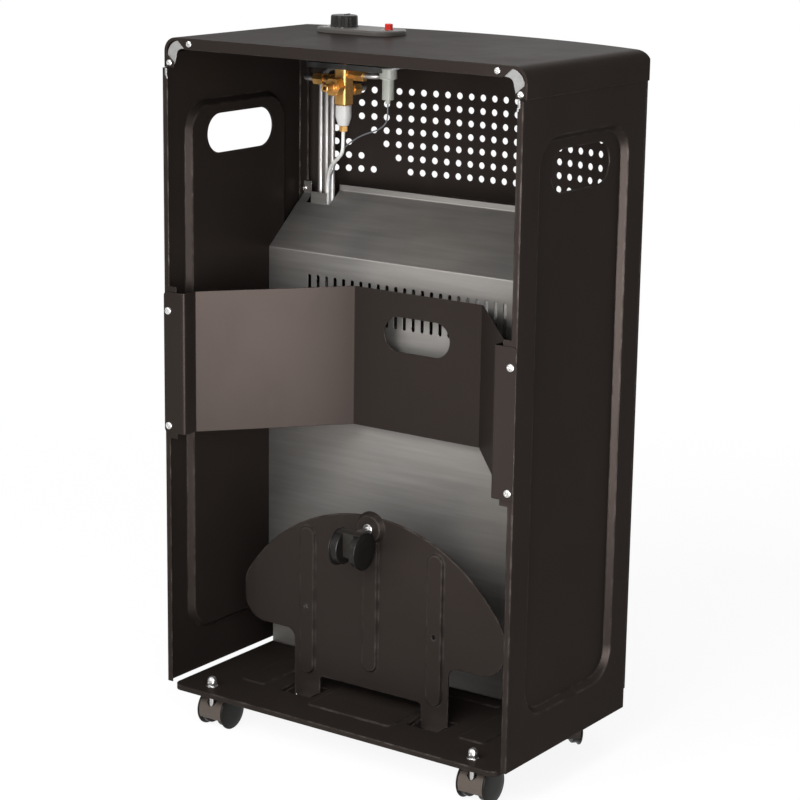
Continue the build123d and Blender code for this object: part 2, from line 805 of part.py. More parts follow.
with BuildPart() as wheel_form:
    with BuildSketch(Plane.XZ.offset(wheel_gap / 2)):
        with Locations((castor_trail, axle_z)):
            Circle(wheel_radius)
    extrude(amount=wheel_width)
    chamfer(wheel_form.edges().filter_by(GeomType.CIRCLE), length=wheel_chamfer)
    with BuildSketch(Plane.XZ.offset(wheel_gap / 2 + wheel_width)):
        with Locations((castor_trail, axle_z)):
            Circle(wheel_radius - 5)
            Circle(5, mode=Mode.SUBTRACT)
    extrude(amount=-1.5, mode=Mode.SUBTRACT)
    # the axle ends in a blind bore of each disc
    with BuildSketch(Plane.XZ.offset(wheel_gap / 2)):
        with Locations((castor_trail, axle_z)):
            Circle(axle_diameter / 2 + stem_clearance)
    extrude(amount=axle_grip, mode=Mode.SUBTRACT)
    mirror(about=Plane.XZ)
    with BuildSketch(Plane.XZ):
        with Locations((castor_trail, axle_z)):
            Circle(axle_diameter / 2)
    extrude(amount=wheel_gap / 2 + axle_grip - stem_clearance, both=True)

with BuildPart() as stem_form:
    with BuildSketch(Plane.XY):
        Circle(stem_collar_radius)
    extrude(amount=-2)
    with BuildSketch(Plane.XY):
        Circle(stem_diameter / 2)
    extrude(amount=-stem_length)
    chamfer(stem_form.edges().group_by(Axis.Z)[0], length=0.8)

with BuildPart() as shank_form:
    with BuildSketch(Plane.XY):
        Circle(shank_diameter / 2)
    extrude(amount=base_thickness + nut_depth)

with BuildPart() as nut_form:
    with BuildSketch(Plane.XY):
        hexagon(nut_width)
    extrude(amount=6)
    with BuildSketch(Plane.XZ):
        with BuildLine():
            Line((0, 5), (nut_width / 2, 5))
            Line((nut_width / 2, 5), (nut_width / 2, 6))
            ThreePointArc((nut_width / 2, 6), (3.7, 9.6), (0, 11))
            Line((0, 11), (0, 5))
        make_face()
    revolve(axis=Axis.Z)
    with BuildSketch(Plane.XY):
        Circle(shank_diameter / 2 + stem_clearance)
    extrude(amount=nut_depth + 0.5, mode=Mode.SUBTRACT)


def floor_castor_plane(x, depth, turn):
    """Seat of a castor under the base; turn 0 trails to the front, 90 towards +X."""
    trail = (sin(radians(turn)), -cos(radians(turn)), 0)
    return Plane(origin=place(x, depth, -base_thickness), x_dir=trail, z_dir=(0, 0, 1))


platform_seat = Plane(
    origin=place(0, boss_depth, castor_level),
    x_dir=(0, 0, -1),
    z_dir=(0, -1, 0),
)
castor_planes = {
    "rear_right": floor_castor_plane(castor_x, castor_rear_depth, 0),
    "rear_left": floor_castor_plane(-castor_x, castor_rear_depth, 0),
    "front_right": floor_castor_plane(castor_x, castor_front_depth, 0),
    "front_left": floor_castor_plane(-castor_x, castor_front_depth, front_left_turn),
    "platform": platform_seat,
}

for corner, seat in castor_planes.items():
    with BuildPart() as castor_hood:
        add(hood_form.part.moved(seat.location))
    finish(castor_hood, f"castor_hood_{corner}")
    with BuildPart() as castor_wheels:
        add(wheel_form.part.moved(seat.location))
    finish(castor_wheels, f"castor_wheels_{corner}")

floor_seats = [seat for corner, seat in castor_planes.items() if corner != "platform"]
with BuildPart() as castor_stems:
    for seat in floor_seats:
        add(stem_form.part.moved(seat.location))
        add(shank_form.part.moved(seat.location))
finish(castor_stems, "castor_stems")

with BuildPart() as dome_nuts:
    for seat in floor_seats:
        add(nut_form.part.moved(seat.offset(base_thickness).location))
finish(dome_nuts, "dome_nuts")

with BuildPart() as platform_stem:
    add(stem_form.part.moved(platform_seat.location))
    add(shank_form.part.moved(platform_seat.location))
finish(platform_stem, "platform_stem")

with BuildPart() as platform_nut:
    add(nut_form.part.moved(platform_seat.offset(platform_thickness).location))
finish(platform_nut, "platform_nut")

# ---------------------------------------------------------------- heat shield
def slope_level(depth):
    """Height of the shield's sloping top at a depth."""
    return shield_ridge + (depth - shield_depth) * slope_rise


plate_foot = (shield_depth, 0)
plate_ridge = (shield_depth, shield_ridge)
slope_end = (shield_slope_end, shield_slope_top)
lip_top = (shield_slope_end, shield_slope_top + shield_lip)
notch_edge = (notch_depth, slope_level(notch_depth))
flap_top = (notch_depth, slope_level(notch_depth) + flap_height)
tab_edge = (tab_depth, slope_level(tab_depth))
tab_top = (tab_depth, slope_level(tab_depth) + tab_height)

with BuildPart() as heat_shield:
    with BuildSketch(side_on(shield_narrow_half)):
        add(
            bent_sheet(
                [(shield_depth + shield_foot, 0), plate_foot, plate_ridge, slope_end, lip_top],
                2.0,
                sheet,
                Side.RIGHT,
            )
        )
    extrude(amount=2 * shield_narrow_half)
    with BuildSketch(side_on(shield_half)):
        add(bent_sheet([(shield_depth, 60), plate_ridge, notch_edge], 2.0, sheet, Side.RIGHT))
    extrude(amount=2 * shield_half)
    # side flanges that lie on the pressed fields of the side panels
    for hand in (1, -1):
        with BuildSketch(side_on(shield_half if hand == 1 else sheet - shield_half)):
            with Locations((shield_depth, 60)):
                Rectangle(18, 365, align=(Align.MIN, Align.MIN))
        extrude(amount=sheet)
    # notch for the gas tubes and leads, and its twin on the other side
    with BuildSketch(level(shield_ridge)):
        for hand in (1, -1):
            with Locations((hand * (notch_inner + shield_half + 1) / 2, -notch_depth)):
                Rectangle(
                    shield_half + 1 - notch_inner,
                    50,
                    align=(Align.CENTER, Align.MAX),
                )
    extrude(amount=2 * shield_ridge, mode=Mode.SUBTRACT)
    for hand in (1, -1):
        for inner, outer, path in (
            (flap_inner, flap_outer, [(205, slope_level(205)), notch_edge, flap_top]),
            (tab_inner, tab_outer, [(205, slope_level(205)), tab_edge, tab_top]),
        ):
            with BuildSketch(side_on(outer if hand == 1 else -inner)):
                add(bent_sheet(path, 1.5, sheet, Side.RIGHT))
            extrude(amount=outer - inner)
    # louvre row
    with BuildSketch(upright(shield_depth - 1)):
        slot_level = shield_slot_top - shield_slot_length / 2
        with Locations((0, slot_level)):
            with GridLocations(shield_slot_pitch, 1, shield_slots, 1):
                SlotOverall(shield_slot_length, shield_slot_width, rotation=90)
    extrude(amount=3 * sheet, mode=Mode.SUBTRACT)
    with BuildSketch(upright(tab_depth - 1)):
        with Locations((tab_screw_x, tab_screw_level), (-tab_screw_x, tab_screw_level)):
            Circle(screw_hole / 2)
    extrude(amount=3 * sheet, mode=Mode.SUBTRACT)
finish(heat_shield, "heat_shield")

with BuildPart() as shield_screws:
    with BuildSketch(upright(tab_depth)):
        with Locations((tab_screw_x, tab_screw_level), (-tab_screw_x, tab_screw_level)):
            Circle(3.0)
    extrude(amount=-1.8)
    with BuildSketch(upright(tab_depth)):
        with Locations((tab_screw_x, tab_screw_level), (-tab_screw_x, tab_screw_level)):
            Circle(screw_diameter / 2)
    extrude(amount=2 * sheet)
finish(shield_screws, "shield_screws")

# ---------------------------------------------------------------- bottle strap
with BuildPart() as bottle_strap:
    with BuildSketch(level(strap_bottom)):
        flange_end = side_x + 0.5
        step_x = flange_end - strap_flange + 0.5
        add(
            bent_sheet(
                [
                    (flange_end, 0),
                    (step_x, 0),
                    (step_x, -strap_step),
                    (strap_centre_half, -strap_centre_depth),
                    (-strap_centre_half, -strap_centre_depth),
                    (-step_x, -strap_step),
                    (-step_x, 0),
                    (-flange_end, 0),
                ],
                strap_bend,
                sheet,
                Side.RIGHT,
            )
        )
    extrude(amount=strap_height)
    with BuildSketch(upright(strap_centre_depth - 3)):
        with Locations((0, strap_hole_level)):
            SlotOverall(strap_hole_length, strap_hole_height)
    extrude(amount=6, mode=Mode.SUBTRACT)
    with BuildSketch(upright(-3)):
        for hand in (1, -1):
            with Locations(*[(hand * strap_screw_x, z) for z in strap_screw_levels]):
                Circle(screw_hole / 2)
    extrude(amount=6, mode=Mode.SUBTRACT)
    # corners of the rear flanges rounded off
    flange_ends = bottle_strap.edges().filter_by(Axis.Y)
    outermost = flange_ends.group_by(Axis.X)
    fillet(outermost[0] + outermost[-1], radius=4)
finish(bottle_strap, "bottle_strap")

with BuildPart() as strap_screws:
    for hand in (1, -1):
        with BuildSketch(upright(-sheet)):
            with Locations(*[(hand * strap_screw_x, z) for z in strap_screw_levels]):
                Circle(4)
        extrude(amount=-2.4)
    heads = strap_screws.faces().filter_by(GeomType.PLANE).group_by(Axis.Y)[-1]
    fillet(heads.edges(), radius=1.2)
    for hand in (1, -1):
        with BuildSketch(upright(-sheet)):
            with Locations(*[(hand * strap_screw_x, z) for z in strap_screw_levels]):
                Circle(screw_diameter / 2)
        extrude(amount=6)
finish(strap_screws, "strap_screws")

# ---------------------------------------------------------------- controls on the cover
with BuildPart() as control_bezel:
    with BuildSketch(level(cabinet_height)):
        with Locations((bezel_x, -control_depth + 1)):
            RectangleRounded(bezel_length, bezel_width, bezel_corner)
    extrude(amount=bezel_height)
    fillet(control_bezel.edges().group_by(Axis.Z)[-1], radius=2.2)
    with BuildSketch(level(cabinet_height)):
        with Locations((control_x, -control_depth)):
            Circle(knob_diameter / 2 + knob_margin)
        with Locations((button_x, -control_depth)):
            Circle(button_diameter / 2 + 2 * pin_clearance)
    extrude(amount=bezel_height, mode=Mode.SUBTRACT)
finish(control_bezel, "control_bezel")

knob_bottom = cabinet_height + knob_travel + 0.6
knob_top = knob_bottom + knob_height
spindle_top = knob_top - knob_crown - knob_travel - 0.5

with BuildPart() as control_knob:
    with BuildSketch(level(knob_bottom)):
        with Locations((control_x, -control_depth)):
            Circle(knob_diameter / 2)
    extrude(amount=knob_height, taper=2)
    fillet(control_knob.edges().group_by(Axis.Z)[-1], radius=1.6)
    # finger flutes round the skirt
    with BuildSketch(level(cabinet_height + bezel_height + 1.5)):
        with Locations((control_x, -control_depth)):
            with PolarLocations(knob_diameter / 2 + 1.3, knob_flutes):
                Circle(2.4)
    extrude(amount=knob_height, mode=Mode.SUBTRACT)
    # pointer rib across the crown
    with BuildSketch(level(knob_top - 1)):
        with Locations((control_x, -control_depth - 5)):
            RectangleRounded(2.4, 9, 1)
    extrude(amount=1.8)
    with BuildSketch(level(knob_bottom)):
        with Locations((control_x, -control_depth)):
            Circle(spindle_diameter / 2 + stem_clearance)
    extrude(amount=knob_height - knob_crown, mode=Mode.SUBTRACT)
finish(control_knob, "control_knob")

with BuildPart() as valve_spindle:
    with BuildSketch(level(valve_top - spindle_seat)):
        with Locations((control_x, -control_depth)):
            Circle(spindle_diameter / 2)
    extrude(amount=spindle_top - valve_top + spindle_seat)
    chamfer(valve_spindle.edges().group_by(Axis.Z)[-1], length=0.6)
finish(valve_spindle, "valve_spindle")

button_bottom = valve_top + button_travel + 1.0
with BuildPart() as igniter_button:
    with BuildSketch(level(button_bottom)):
        with Locations((button_x, -control_depth)):
            Circle(button_diameter / 2)
    extrude(amount=cabinet_height + bezel_height + button_rise - button_bottom)
    fillet(igniter_button.edges().group_by(Axis.Z)[-1], radius=0.8)
finish(igniter_button, "igniter_button")

# ---------------------------------------------------------------- valve bracket
bracket_rear = control_depth - 20.0
bracket_front = control_depth + 20.0
bracket_left = control_x + 32.5
bracket_right = button_x - 24.0
bracket_leg_from = button_x + 4.0
bracket_leg_to = control_x + 10.5

with BuildPart() as valve_bracket:
    # shelf with a rounded end
    with BuildSketch(level(valve_top)) as shelf:
        with Locations(((bracket_left + bracket_right) / 2, -(bracket_rear + bracket_front) / 2)):
            Rectangle(bracket_left - bracket_right, bracket_front - bracket_rear)
        fillet(shelf.vertices().group_by(Axis.X)[0], radius=17)
    extrude(amount=bracket_sheet)
    # turned-down edge at the rear
    with BuildSketch(level(valve_top + bracket_sheet)):
        with Locations((bracket_left, -bracket_rear)):
            Rectangle(bracket_left - bracket_right - 18, bracket_sheet, align=(Align.MAX, Align.MAX))
    extrude(amount=-5.5)
    # end leg and front leg, each with a foot that lies under the cover
    with BuildSketch(upright(bracket_rear)):
        foot_level = cabinet_height - sheet - bracket_sheet
        low = valve_top
        add(
            bent_sheet(
                [(bracket_left - 8, low), (bracket_left, low), (bracket_left, foot_level),
                 (bracket_left + 13, foot_level)],
                2.0,
                bracket_sheet,
                Side.LEFT,
            )
        )
    extrude(amount=bracket_front - bracket_rear)
    with BuildSketch(side_on(bracket_leg_to)):
        add(
            bent_sheet(
                [(bracket_front - 8, low), (bracket_front, low), (bracket_front, foot_level),
                 (bracket_front + 13, foot_level)],
                2.0,
                bracket_sheet,
                Side.LEFT,
            )
        )
    extrude(amount=bracket_leg_to - bracket_leg_from)
    with BuildSketch(level(valve_top)):
        with Locations((control_x, -control_depth)):
            Circle(valve_neck / 2 + pin_clearance)
        with Locations((button_x, -control_depth)):
            Circle(piezo_neck / 2 + pin_clearance)
    extrude(amount=bracket_sheet, mode=Mode.SUBTRACT)
finish(valve_bracket, "valve_bracket")

# ---------------------------------------------------------------- gas valve and its fittings
valve_bottom = valve_top - 42.4
valve_width = 14.6
valve_rear = control_depth - 8.0
valve_front = control_depth + 8.0
boss_out = 7.0
outlet_left_level = valve_top - 17.8
outlet_right_level = valve_top - 10.8
outlet_front_level = valve_top - 27.8
inlet_level = valve_top - 22.8
left_boss_end = control_x + valve_width / 2 + 17.0
right_boss_end = control_x - valve_width / 2 - boss_out
front_boss_end = valve_front + 5.0
nut_length = 12.0
tube_diameter = 6.0

with BuildPart() as gas_valve_body:
    with BuildSketch(level(valve_bottom)):
        with Locations((control_x, -(valve_rear + valve_front) / 2)):
            RectangleRounded(valve_width, valve_front - valve_rear, 3)
    extrude(amount=valve_top - valve_bottom)
    chamfer(gas_valve_body.edges().group_by(Axis.Z)[0], length=1.2)
    with BuildSketch(level(valve_top)):
        with Locations((control_x, -control_depth)):
            Circle(valve_neck / 2)
    extrude(amount=8)
    # cast collar below the shelf
    with BuildSketch(level(valve_top)):
        with Locations((control_x, -control_depth)):
            Circle(9.5)
    extrude(amount=-6)
    # outlets to both sides and to the front
    with BuildSketch(side_on(left_boss_end)):
        with Locations((control_depth, outlet_left_level)):
            Circle(4.5)
    extrude(amount=left_boss_end - control_x)
    with BuildSketch(side_on(left_boss_end - 6)):
        with Locations((control_depth, outlet_left_level)):
            hexagon(12)
    extrude(amount=5)
    with BuildSketch(side_on(control_x)):
        with Locations((control_depth, outlet_right_level)):
            Circle(4.5)
    extrude(amount=control_x - right_boss_end)
    with BuildSketch(upright(control_depth)):
        with Locations((control_x, outlet_front_level)):
            Circle(4.5)
    extrude(amount=front_boss_end - control_depth)
    with BuildSketch(level(valve_top + 8)):
        with Locations((control_x, -control_depth)):
            Circle(spindle_diameter / 2 + stem_clearance)
    extrude(amount=-8 - spindle_seat - 0.5, mode=Mode.SUBTRACT)
finish(gas_valve_body, "gas_valve_body")

with BuildPart() as tube_nuts:
    # one nut on each outlet, the tube passing through it
    nut_starts = (
        (side_on(left_boss_end + nut_length), (control_depth, outlet_left_level)),
        (side_on(right_boss_end), (control_depth, outlet_right_level)),
        (upright(front_boss_end), (control_x, outlet_front_level)),
    )
    for plane, spot in nut_starts:
        with BuildSketch(plane):
            with Locations(spot):
                hexagon(11)
                Circle(tube_diameter / 2 + pin_clearance, mode=Mode.SUBTRACT)
        extrude(amount=nut_length)
finish(tube_nuts, "tube_nuts")

inlet_end = valve_rear - 25.0
inlet_tail_radius = 4.2
with BuildPart() as gas_inlet:
    with BuildSketch(upright(valve_rear)):
        with Locations((control_x, inlet_level)):
            Circle(5)
    extrude(amount=-3)
    with BuildSketch(upright(valve_rear - 2)):
        with Locations((control_x, inlet_level)):
            hexagon(17)
    extrude(amount=-10)
    # plain tail for the hose, with a collar against the hexagon
    with BuildSketch(upright(valve_rear - 12)):
        with Locations((control_x, inlet_level)):
            Circle(5.4)
    extrude(amount=-2.5)
    with BuildSketch(upright(inlet_end)):
        with Locations((control_x, inlet_level)):
            Circle(inlet_tail_radius)
    extrude(amount=valve_rear - 12 - inlet_end)
    chamfer(gas_inlet.edges().group_by(Axis.Y)[-1], length=0.6)
    with BuildSketch(upright(inlet_end)):
        with Locations((control_x, inlet_level)):
            Circle(2.2)
    extrude(amount=12, mode=Mode.SUBTRACT)
finish(gas_inlet, "gas_inlet")

magnet_bottom = valve_bottom - 21.4
with BuildPart() as magnet_unit:
    with BuildSketch(side_on(control_x)):
        with BuildLine():
            Polyline(
                (control_depth, magnet_bottom),
                (control_depth + 5.5, magnet_bottom),
                (control_depth + 5.5, magnet_bottom + 11),
                (control_depth + 8.5, magnet_bottom + 14),
                (control_depth + 8.5, valve_bottom),
                (control_depth, valve_bottom),
                (control_depth, magnet_bottom),
            )
        make_face()
    revolve(axis=Axis(place(control_x, control_depth, 0), (0, 0, 1)))
finish(magnet_unit, "magnet_unit")

lead_diameter = 2.6
with BuildPart() as thermocouple_nut:
    with BuildSketch(level(magnet_bottom)):
        with Locations((control_x, -control_depth)):
            hexagon(8)
            Circle(lead_diameter / 2 + pin_clearance, mode=Mode.SUBTRACT)
    extrude(amount=-5.5)
finish(thermocouple_nut, "thermocouple_nut")

piezo_bottom = valve_top - 32.8
with BuildPart() as piezo_igniter:
    with BuildSketch(level(piezo_bottom)):
        with Locations((button_x, -control_depth)):
            Circle(6)
    extrude(amount=valve_top - piezo_bottom)
    with BuildSketch(level(valve_top)):
        with Locations((button_x, -control_depth)):
            Circle(9)
    extrude(amount=-12)
    fillet(piezo_igniter.edges().filter_by(GeomType.CIRCLE).group_by(Axis.Z)[1], radius=1.0)
    with BuildSketch(level(valve_top)):
        with Locations((button_x, -control_depth)):
            Circle(piezo_neck / 2)
    extrude(amount=24)
    # terminal at the foot
    with BuildSketch(level(piezo_bottom)):
        with Locations((button_x, -control_depth)):
            Circle(2.4)
    extrude(amount=-4)
    with BuildSketch(level(valve_top + 24)):
        with Locations((button_x, -control_depth)):
            Circle(button_diameter / 2 + pin_clearance)
    extrude(amount=-24, mode=Mode.SUBTRACT)
finish(piezo_igniter, "piezo_igniter")

# ---------------------------------------------------------------- gas tubes and leads
tube_depth = side_depth - 3.0
tube_places = [half_width - inset for inset in (31.5, 39.0, 46.5)]  # right, left, front outlet
block_top = 318.0
tube_socket = 6.0
tube_bend = 12.0
burner_bottom = 188.0
burner_top = 336.0


def route_tube(points, radii, diameter):
    """Round tube or lead swept along straight runs joined by arcs; prints its length."""
    spots = [Vector(*place(*point)) for point in points]
    with BuildLine() as route:
        FilletPolyline(*spots, radius=radii)
    wire = route.wires()[0]
    start = Plane(origin=wire @ 0, z_dir=wire % 0)
    with BuildPart() as tube:
        with BuildSketch(start):
            Circle(diameter / 2)
        sweep(path=wire)
    wanted = pi * diameter**2 / 4 * wire.length
    print(f"length {wire.length:.1f} radii {radii} volume ratio {tube.part.volume / wanted:.4f}")
    return tube.part


tube_routes = {
    "right": (
        [
            (right_boss_end, control_depth, outlet_right_level),
            (right_boss_end - 26.2, control_depth, outlet_right_level),
            (right_boss_end - 26.2, tube_depth, outlet_right_level),
            (tube_places[0], tube_depth, outlet_right_level),
            (tube_places[0], tube_depth, block_top - tube_socket),
        ],
        [tube_bend, 18, 18],
    ),
    "left": (
        [
            (left_boss_end, control_depth, outlet_left_level),
            (tube_places[1], control_depth, outlet_left_level),
            (tube_places[1], tube_depth, outlet_left_level),
            (tube_places[1], tube_depth, block_top - tube_socket),
        ],
        [tube_bend, 18],
    ),
    "front": (
        [
            (control_x, front_boss_end, outlet_front_level),
            (control_x, tube_depth, outlet_front_level),
            (tube_places[2], tube_depth, outlet_front_level),
            (tube_places[2], tube_depth, block_top - tube_socket),
        ],
        [tube_bend, 18],
    ),
}
for outlet, (points, radii) in tube_routes.items():
    with BuildPart() as gas_tube:
        add(route_tube(points, radii, tube_diameter))
    finish(gas_tube, f"gas_tube_{outlet}")

with BuildPart() as injector_block:
    with BuildSketch(level(block_top)):
        with Locations((burner_half, 0.2 - burner_front)):
            Rectangle(35, 9.6, align=(Align.MIN, Align.MIN))
    extrude(amount=-18)
    chamfer(injector_block.edges().group_by(Axis.Z)[-1].filter_by(Axis.X), length=1)
    with BuildSketch(level(block_top)):
        with Locations(*[(x, -tube_depth) for x in tube_places]):
            Circle(tube_diameter / 2 + pin_clearance)
    extrude(amount=-tube_socket, mode=Mode.SUBTRACT)
finish(injector_block, "injector_block")

pilot_x = burner_half - 23.0
probe_x = pilot_x - 9.0
electrode_x = pilot_x + 9.0
pilot_depth = burner_front + 11.0
lead_x = half_width - 45.0
pilot_shelf = 182.0
probe_bottom = 172.0
electrode_bottom = 178.0

thermo_points = [
    (control_x, control_depth, magnet_bottom),
    (control_x, control_depth, magnet_bottom - 20.0),
    (lead_x - 15.0, tube_depth - 21.0, 526.0),
    (lead_x + 0.5, tube_depth - 4.8, 505.0),
    (lead_x, tube_depth - 12.0, 158.0),
    (probe_x, tube_depth - 12.0, 158.0),
    (probe_x, pilot_depth, 158.0),
    (probe_x, pilot_depth, probe_bottom),
]
with BuildPart() as thermocouple_lead:
    add(route_tube(thermo_points, [12, 16, 12, 12, 12, 9], lead_diameter))
finish(thermocouple_lead, "thermocouple_lead")

spark_points = [
    (button_x, control_depth, piezo_bottom - 4),
    (button_x, control_depth, piezo_bottom - 20.0),
    (button_x + 33.0, tube_depth - 31.0, 565.0),
    (lead_x - 27.0, tube_depth - 17.0, 545.0),
    (lead_x - 3.3, tube_depth - 6.2, 502.0),
    (lead_x - 7.0, tube_depth - 20.0, 166.0),
    (electrode_x, tube_depth - 20.0, 166.0),
    (electrode_x, pilot_depth, 166.0),
    (electrode_x, pilot_depth, electrode_bottom),
]
with BuildPart() as ignition_wire:
    add(route_tube(spark_points, [12, 20, 20, 20, 10, 10, 9], lead_diameter))
finish(ignition_wire, "ignition_wire")

# ---------------------------------------------------------------- burner and reflector
plaque_places = [step * plaque_pitch for step in (-1, 0, 1)]

with BuildPart() as burner_housing:
    with BuildSketch(upright(burner_rear)):
        with Locations((0, plaque_level)):
            RectangleRounded(2 * burner_half, burner_top - burner_bottom, 4)
    extrude(amount=burner_front - burner_rear)
    # mixing chamber behind the plaques
    with BuildSketch(upright(burner_rear + 1.5)):
        with Locations((0, plaque_level)):
            Rectangle(2 * burner_half - 8, burner_top - burner_bottom - 8)
    extrude(amount=burner_front - burner_rear - plaque_thickness - 4.5, mode=Mode.SUBTRACT)
    # a seat and a window for each plaque
    with BuildSketch(upright(burner_front)):
        with Locations(*[(x, plaque_level) for x in plaque_places]):
            Rectangle(plaque_width + 2 * seat_gap, plaque_height + 2 * seat_gap)
    extrude(amount=-plaque_thickness, mode=Mode.SUBTRACT)
    with BuildSketch(upright(burner_front)):
        with Locations(*[(x, plaque_level) for x in plaque_places]):
            Rectangle(plaque_width - 6, plaque_height - 6)
    extrude(amount=-plaque_thickness - 5, mode=Mode.SUBTRACT)
finish(burner_housing, "burner_housing")

plaque_names = ("left", "middle", "right")
for side_name, x in zip(plaque_names, plaque_places):
    with BuildPart() as plaque:
        with BuildSketch(upright(burner_front)):
            with Locations((x, plaque_level)):
                Rectangle(plaque_width, plaque_height)
        extrude(amount=-plaque_thickness)
        # shallow grooves over the glowing face
        with BuildSketch(upright(burner_front)):
            with Locations((x, plaque_level)):
                with GridLocations(1, 12, 1, 10):
                    Rectangle(plaque_width - 8, 2)
        extrude(amount=-0.8, mode=Mode.SUBTRACT)
    finish(plaque, f"ceramic_plaque_{side_name}")

with BuildPart() as burner_brackets:
    # Z-shaped brackets between the heat shield and the burner housing
    bracket_web, foot = burner_half - 40.0, 18.0
    for hand in (1, -1):
        turn = Side.LEFT if hand == 1 else Side.RIGHT
        with BuildSketch(level(plaque_level - 30)):
            add(
                bent_sheet(
                    [
                        (hand * (bracket_web + foot), -shield_depth - sheet),
                        (hand * bracket_web, -shield_depth - sheet),
                        (hand * bracket_web, -burner_rear + bracket_sheet),
                        (hand * (bracket_web - foot), -burner_rear + bracket_sheet),
                    ],
                    2.0,
                    bracket_sheet,
                    turn,
                )
            )
        extrude(amount=60)
finish(burner_brackets, "burner_brackets")

with BuildPart() as reflector:
    front_limit = panel_bow - sheet - seat_gap
    wall = 1.0
    with BuildSketch(level(reflector_bottom)):
        add(bowed_face(reflector_half, burner_front, front_limit, 0))
    extrude(amount=reflector_top - reflector_bottom)
    with BuildSketch(level(reflector_bottom + wall)):
        add(bowed_face(reflector_half - wall, burner_front + wall, front_limit + 20, 0))
    extrude(amount=reflector_top - reflector_bottom - 2 * wall, mode=Mode.SUBTRACT)
    # sloping upper reflector
    with BuildSketch(side_on(reflector_half - wall)):
        with BuildLine():
            Polyline(
                (burner_front, burner_top + 3),
                (burner_front + 1, burner_top + 3),
                (burner_front + 24, reflector_top - 3),
                (burner_front + 24, reflector_top),
                (burner_front + 23, reflector_top),
                (burner_front, burner_top + 12),
                (burner_front, burner_top + 3),
            )
        make_face()
    extrude(amount=2 * (reflector_half - wall))
    with BuildSketch(level(reflector_bottom)):
        add(bowed_face(reflector_half, 0, front_limit, 0))
    extrude(amount=reflector_top - reflector_bottom, mode=Mode.INTERSECT)
    # window for the plaques, passages for the leads and the pilot's tube
    with BuildSketch(upright(burner_front)):
        with Locations((0, plaque_level)):
            Rectangle(2 * burner_half - 12, burner_top - burner_bottom - 12)
        with Locations((probe_x, 158), (electrode_x, 166)):
            Circle(4)
    extrude(amount=wall, mode=Mode.SUBTRACT)
    with BuildSketch(level(reflector_bottom)):
        with Locations((pilot_x, -pilot_depth)):
            Circle(3.5)
    extrude(amount=wall, mode=Mode.SUBTRACT)
finish(reflector, "reflector")

with BuildPart() as pilot_bracket:
    pilot_rear = burner_front + 1
    with BuildSketch(side_on(electrode_x + 9)):
        add(
            bent_sheet(
                [
                    (pilot_rear, pilot_shelf - 14),
                    (pilot_rear, pilot_shelf),
                    (pilot_depth + 7, pilot_shelf),
                ],
                1.5,
                sheet,
                Side.RIGHT,
            )
        )
    extrude(amount=electrode_x - probe_x + 18)
    with BuildSketch(level(pilot_shelf)):
        with Locations((probe_x, -pilot_depth)):
            Circle(2.3 + pin_clearance)
        with Locations((pilot_x, -pilot_depth)):
            Circle(3.5 + pin_clearance)
        with Locations((electrode_x, -pilot_depth)):
            Circle(3.2 + pin_clearance)
    extrude(amount=-2, both=True, mode=Mode.SUBTRACT)
    with BuildSketch(upright(pilot_rear)):
        with Locations((electrode_x, 166)):
            Circle(4)
    extrude(amount=2, mode=Mode.SUBTRACT)
finish(pilot_bracket, "pilot_bracket")

with BuildPart() as pilot_burner:
    with BuildSketch(level(pilot_shelf - 10)):
        with Locations((pilot_x, -pilot_depth)):
            Circle(3.5)
    extrude(amount=10)
    with BuildSketch(level(pilot_shelf)):
        with Locations((pilot_x, -pilot_depth)):
            Circle(4.3)
    extrude(amount=16)
    with BuildSketch(level(pilot_shelf - 10)):
        with Locations((pilot_x, -pilot_depth)):
            Circle(2.1)
    extrude(amount=7, mode=Mode.SUBTRACT)
    with BuildSketch(level(pilot_shelf + 16)):
        with Locations((pilot_x, -pilot_depth)):
            Circle(3)
    extrude(amount=-12, mode=Mode.SUBTRACT)
finish(pilot_burner, "pilot_burner")

with BuildPart() as thermocouple_probe:
    with BuildSketch(level(probe_bottom)):
        with Locations((probe_x, -pilot_depth)):
            Circle(2.3)
    extrude(amount=34)
    fillet(thermocouple_probe.edges().group_by(Axis.Z)[-1], radius=1.5)
    with BuildSketch(level(pilot_shelf)):
        with Locations((probe_x, -pilot_depth)):
            Circle(3.6)
    extrude(amount=3)
finish(thermocouple_probe, "thermocouple_probe")

with BuildPart() as ignition_electrode:
    with BuildSketch(level(electrode_bottom)):
        with Locations((electrode_x, -pilot_depth)):
            Circle(3.2)
    extrude(amount=18)
    with BuildSketch(level(pilot_shelf)):
        with Locations((electrode_x, -pilot_depth)):
            Circle(4.2)
    extrude(amount=3)
    with BuildSketch(level(electrode_bottom + 18)):
        with Locations((electrode_x, -pilot_depth)):
            Circle(0.9)
    extrude(amount=9)
finish(ignition_electrode, "ignition_electrode")

pilot_tube_x = burner_half + 31.0
pilot_tube_points = [
    (pilot_tube_x, tube_depth, block_top - 18),
    (pilot_tube_x, tube_depth, 128.0),
    (pilot_x, pilot_depth, 128.0),
    (pilot_x, pilot_depth, pilot_shelf - 3),
]
with BuildPart() as pilot_tube:
    add(route_tube(pilot_tube_points, [20, 20], 4.0))
finish(pilot_tube, "pilot_tube")
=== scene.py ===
"""Finishes and small pieces for the portable gas cabinet heater, laid out as a Blender add-on.

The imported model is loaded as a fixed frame. Three operators finish its sheet metal, its bare
metals and its mouldings. The next ones build finer leads, screws, castors, corner trim and dial
marks, and the last one sets the stage.

Readings are in millimetres: across the cabinet, inwards from the side panels' rear edges, and
up from the base plate, as in the part's own source. Everything in Blender is in metres.
"""

import json
from math import cos, pi, radians, sin

import bmesh
import bpy
from bpy.props import FloatProperty, FloatVectorProperty, PointerProperty
from mathutils import Matrix, Vector

